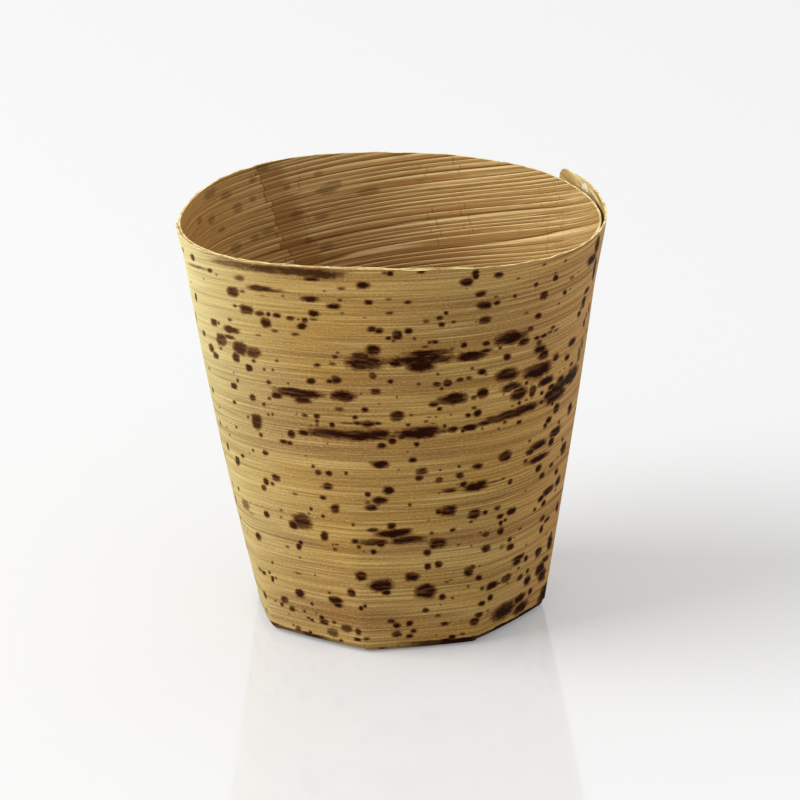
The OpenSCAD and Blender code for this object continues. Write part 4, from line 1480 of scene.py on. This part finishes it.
def inside_colour(tree):
    at = leaf_place(tree)
    x, _ = at
    phase = attribute(tree, "rib", 2)
    part = phase.math("FRACT")
    vein, flaky, patch = vein_masks(tree, at, phase.math("FLOOR"))
    fibre, fine = inside_fibres(at)
    lines = noise(at, *FINE_LINES)
    bold = boldness(x)
    # Where the painted highlight lies: the upper back of each rib.
    rib_highlight = step(part, 0.6, 0.8) * step(part, 0.98, 0.88)
    # Where the painted shade of the grooves lies.
    groove_shade = step(abs(part - 0.5), 0.4, 0.48) * step(fibre, 0.36, 0.5)
    core, rim = spot_masks(tree, at, about(at, GHOST_FRINGE) * 1.5)
    return layered(
        RIB,
        (step(noise(at, *INSIDE_TONE), 0.4, 0.62), RIB_DULL),
        (patch * 0.3, RIB_RED_AND_SHADE),
        (step(x, *DRY_FROM) * 0.7, RIB_DRY),
        # Painted light on the inside of the left wall, which faces away from the lamp.
        (step(x, *PAINTED_LIGHT_FROM) * 0.55, RIB_PAINTED_LIGHT),
        # Painted shade on the lower side of each rib.
        (step(part, 0.5, 0.05) * bold * 0.55, RIB_RED_AND_SHADE),
        # A painted highlight on each rib's upper back.
        (rib_highlight * (bold * 0.75 + 0.05), PALE_LINES_AND_HIGHLIGHT),
        (step(fibre, 0.5, 0.64) * (bold * 0.35 + 0.25), RIB_RED_AND_SHADE),
        (step(fibre, 0.46, 0.34) * (bold * 0.3 + 0.15), PALE_LINES_AND_HIGHLIGHT),
        (step(lines, 0.54, 0.66) * 0.5, RIB_RED_AND_SHADE),
        (step(lines, 0.46, 0.34) * 0.35, PALE_LINES_AND_HIGHLIGHT),
        (step(fine, 0.54, 0.7) * 0.35, RIB_RED_AND_SHADE),
        # Painted shade in the grooves between the ribs.
        (groove_shade * (bold * 0.75 + 0.04), VEIN_AND_GROOVE_SHADE),
        (flaky, RIB_RED_AND_SHADE),
        (vein, VEIN_AND_GROOVE_SHADE),
        (rim * 0.36 + core * 0.12, GHOST))


def inside_height(tree):
    fibre, fine = inside_fibres(leaf_place(tree))
    return fibre * -1.0 + fine * 0.3


inside = finish_tree(
    "sheath_inside", inside_colour, sheen(INSIDE_SHEEN, 0.2, 0.42), inside_height, INSIDE_DEPTH)
print("inside's nodes:", len(inside.node_tree.nodes))

# %% [markdown]
# ### The lining
#
# The inside of the outer ply shows only at its free corner: pale, with fine brown
# stripes, and one whitish place where the leaf's thin lining is torn.

# %% Lining
LINING_PALE = colour(204, 182, 130)
LINING_TAN = colour(172, 142, 92)
LINING_STRIPE = colour(104, 70, 36)
TORN_RIM = colour(122, 94, 60)
TORN_WHITE = colour(222, 216, 190)
LINING_SHEEN = (0.1, 2.0)
LINING_STRIPES = (0.05, 1.3, 3.0, 0.6, 41.0)
LINING_FURROWS = (0.05, 1.1, 3.0, 0.6, 41.0)
LINING_TONE = (0.1, 0.25, 2.0, 0.5, 42.0)
TORN_RAGS = (0.8, 1.4, 3.0, 0.65, 43.0)
LINING_DEPTH = 0.1
TORN_PIXEL = (585.0, 187.0)
TORN_SIZE = (1.9, 0.9)
TORN_RAGGED = 3.4
DARKER_BEYOND = (0.5, 3.0)

corner_wall = (DISTANCE, FAR_WALL, INNER_FROM, wall_face(wrap_standoff, 0.0), WRAP_FAN)
torn_x, torn_y = (float(place[0]) for place in met(np.array([TORN_PIXEL]), *corner_wall))
print("torn lining at, mm on the leaf:", round(torn_x, 1), round(torn_y, 1))


def lining_colour(tree):
    at = leaf_place(tree)
    x, y = at
    stripes = step(noise(at, *LINING_STRIPES), 0.46, 0.58)
    away = (((x - torn_x) / TORN_SIZE[0]) ** 2 + ((y - torn_y) / TORN_SIZE[1]) ** 2) ** 0.5
    away = away + about(at, TORN_RAGS) * TORN_RAGGED
    darker = step(x, torn_x - DARKER_BEYOND[0], torn_x - DARKER_BEYOND[1])
    return layered(
        LINING_PALE,
        (step(noise(at, *LINING_TONE), 0.4, 0.62), LINING_TAN),
        (stripes * (0.4 + darker * 0.5), LINING_STRIPE),
        (step(away, 1.5, 0.9) * 0.5, TORN_RIM),
        (step(away, 1.0, 0.4) * 0.7, TORN_WHITE))


lining = finish_tree("sheath_lining", lining_colour, sheen(LINING_SHEEN, 0.2, 0.45),
                     relief(LINING_FURROWS), LINING_DEPTH)

# %% [markdown]
# ### Cut edges and glue
#
# A cut edge shows the pale pith of the leaf, with a few brown fibres. The glue is
# a dry amber film, which shows only between the tabs. It has no leaf to read, so
# its patterns lie in its Object coordinates.

# %% Cut edge
PITH = colour(228, 210, 152)
PITH_TAN = colour(190, 158, 100)
PITH_FIBRE = colour(140, 100, 60)
PITH_TONE = (0.5, 0.5, 3.0, 0.6, 31.0)
PITH_FIBRES = (1.2, 1.2, 2.0, 0.5, 32.0)
EDGE_SHEEN = (1.0, 1.0)
EDGE_GRAIN = (2.0, 2.0)
EDGE_DEPTH = 0.05
EDGE_SPECULAR = 0.2


def edge_colour(tree):
    at = leaf_place(tree)
    return layered(
        PITH,
        (step(noise(at, *PITH_TONE), 0.4, 0.62), PITH_TAN),
        (step(noise(at, *PITH_FIBRES), 0.62, 0.72), PITH_FIBRE))


edge = finish_tree("cut_edge", edge_colour, sheen(EDGE_SHEEN, 0.2, 0.6), relief(EDGE_GRAIN),
                   EDGE_DEPTH, EDGE_SPECULAR)

# %% Glue
GLUE_FILMS = ("ply_glue", "wrap_seam_glue", "liner_seam_glue", "tab_glue", "floor_glue")
AMBER = colour(196, 158, 98)
AMBER_DARK = colour(150, 108, 60)
GLUE_TONE = (0.4, 0.4, 3.0)
GLUE_SHEEN = (0.8, 0.8)
GLUE_RIPPLE = (1.2, 1.2)
GLUE_DEPTH = 0.04
GLUE_SPECULAR = 0.5


def solid_place(tree):
    """Object coordinates in millimetres, for pieces without a leaf."""
    place = node(tree, "ShaderNodeTexCoord", out=3).parts()
    return place[0] / MM, place[1] / MM


def glue_colour(tree):
    return mixed(noise(solid_place(tree), *GLUE_TONE), AMBER, AMBER_DARK)


glue = finish_tree("dry_glue", glue_colour, sheen(GLUE_SHEEN, 0.3, 0.2, solid_place),
                   relief(GLUE_RIPPLE, solid_place), GLUE_DEPTH, GLUE_SPECULAR)
for name in GLUE_FILMS:
    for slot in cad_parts[name].material_slots:
        slot.material = glue
print("finishes:", [m.name for m in bpy.data.materials])

# %% [markdown]
# ## The floor disc
#
# The tabs leave an eight-sided hole in the middle of the base. A disc of the same
# leaf closes it from inside. The view is too low to see it in the picture, so it is
# plain: an eight-sided cut-out with level fibres, buckled a little. The rolling
# tree passes it through unrolled and only gives it its place and its finishes.

# %% The floor disc
FLOOR_CLEAR = 0.4
DISC_TURNS = 240
DISC_RINGS = 60
BUCKLE = 0.05

floor_low, floor_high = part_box("floor_disc")
disc_slab = Slab("floor_disc_sheet")
disc_turns = np.arange(DISC_TURNS) * 360 / DISC_TURNS
disc_reach = wall_radius(CUP, disc_turns, CUP.fold) - CUP.fold - FLOOR_CLEAR


def disc_face(level_z, side):
    """Rings of points from the edge inwards, and one in the middle."""
    shares = np.linspace(1, 0, DISC_RINGS + 1)[:-1]
    radius = disc_reach[:, None] * shares
    x, y = radius * cosd(disc_turns)[:, None], radius * cosd(disc_turns - 90)[:, None]
    z = level_z + BUCKLE * shares * (1 - shares) * cosd(2 * disc_turns)[:, None]
    rings = disc_slab.grid(np.stack([x, y, z], -1), (x, y), side, False)
    zero = np.zeros((1, 1))
    middle = disc_slab.grid(np.array([[[0.0, 0.0, level_z]]]), (zero, zero), side, False)
    return np.concatenate([rings, rings[:1]]), middle[0, 0]


top, top_middle = disc_face(floor_high.z / MM, 1.0)
under, under_middle = disc_face(floor_low.z / MM, 0.0)
disc_slab.skin(grid_faces(top), INSIDE)
disc_slab.skin([[a, b, top_middle] for a, b in zip(top[:-1, -1], top[1:, -1])], INSIDE)
disc_slab.skin(grid_faces(under)[:, ::-1], SKIN)
disc_slab.skin([[b, a, under_middle] for a, b in zip(under[:-1, -1], under[1:, -1])], SKIN)
disc_slab.skin(strip(under[:, 0], top[:, 0]), EDGE)
print("floor disc, mm:", [round((b - a) / MM, 2) for a, b in zip(floor_low, floor_high)])

# %% [markdown]
# ## Riding and handing over
#
# Every piece rides on the cup's one body and takes the place of its CAD solid.

# %% Handing over
cup_sizes = {**vars(CUP), **RIB_SIZES}
FINISHES = {"skin": skin, "inside": inside, "edge": edge, "lining": lining}
PIECES = [
    (wrap_slab, wrap_standoff, WRAP_RIB, wrap_spots, "outer_wrap", "sheath_outer"),
    (liner_slab, liner_standoff, LINER_RIB, ghosts, "inner_liner", "sheath_inner"),
    (disc_slab, liner_standoff, 0.0, None, "floor_disc", "sheath_floor")]
for slab, standoff, rib_height, spots, name, slot in PIECES:
    piece = rolled(slab, standoff, {**cup_sizes, "rib_height": rib_height}, FINISHES, spots)
    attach(piece, "root")
    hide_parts(name)
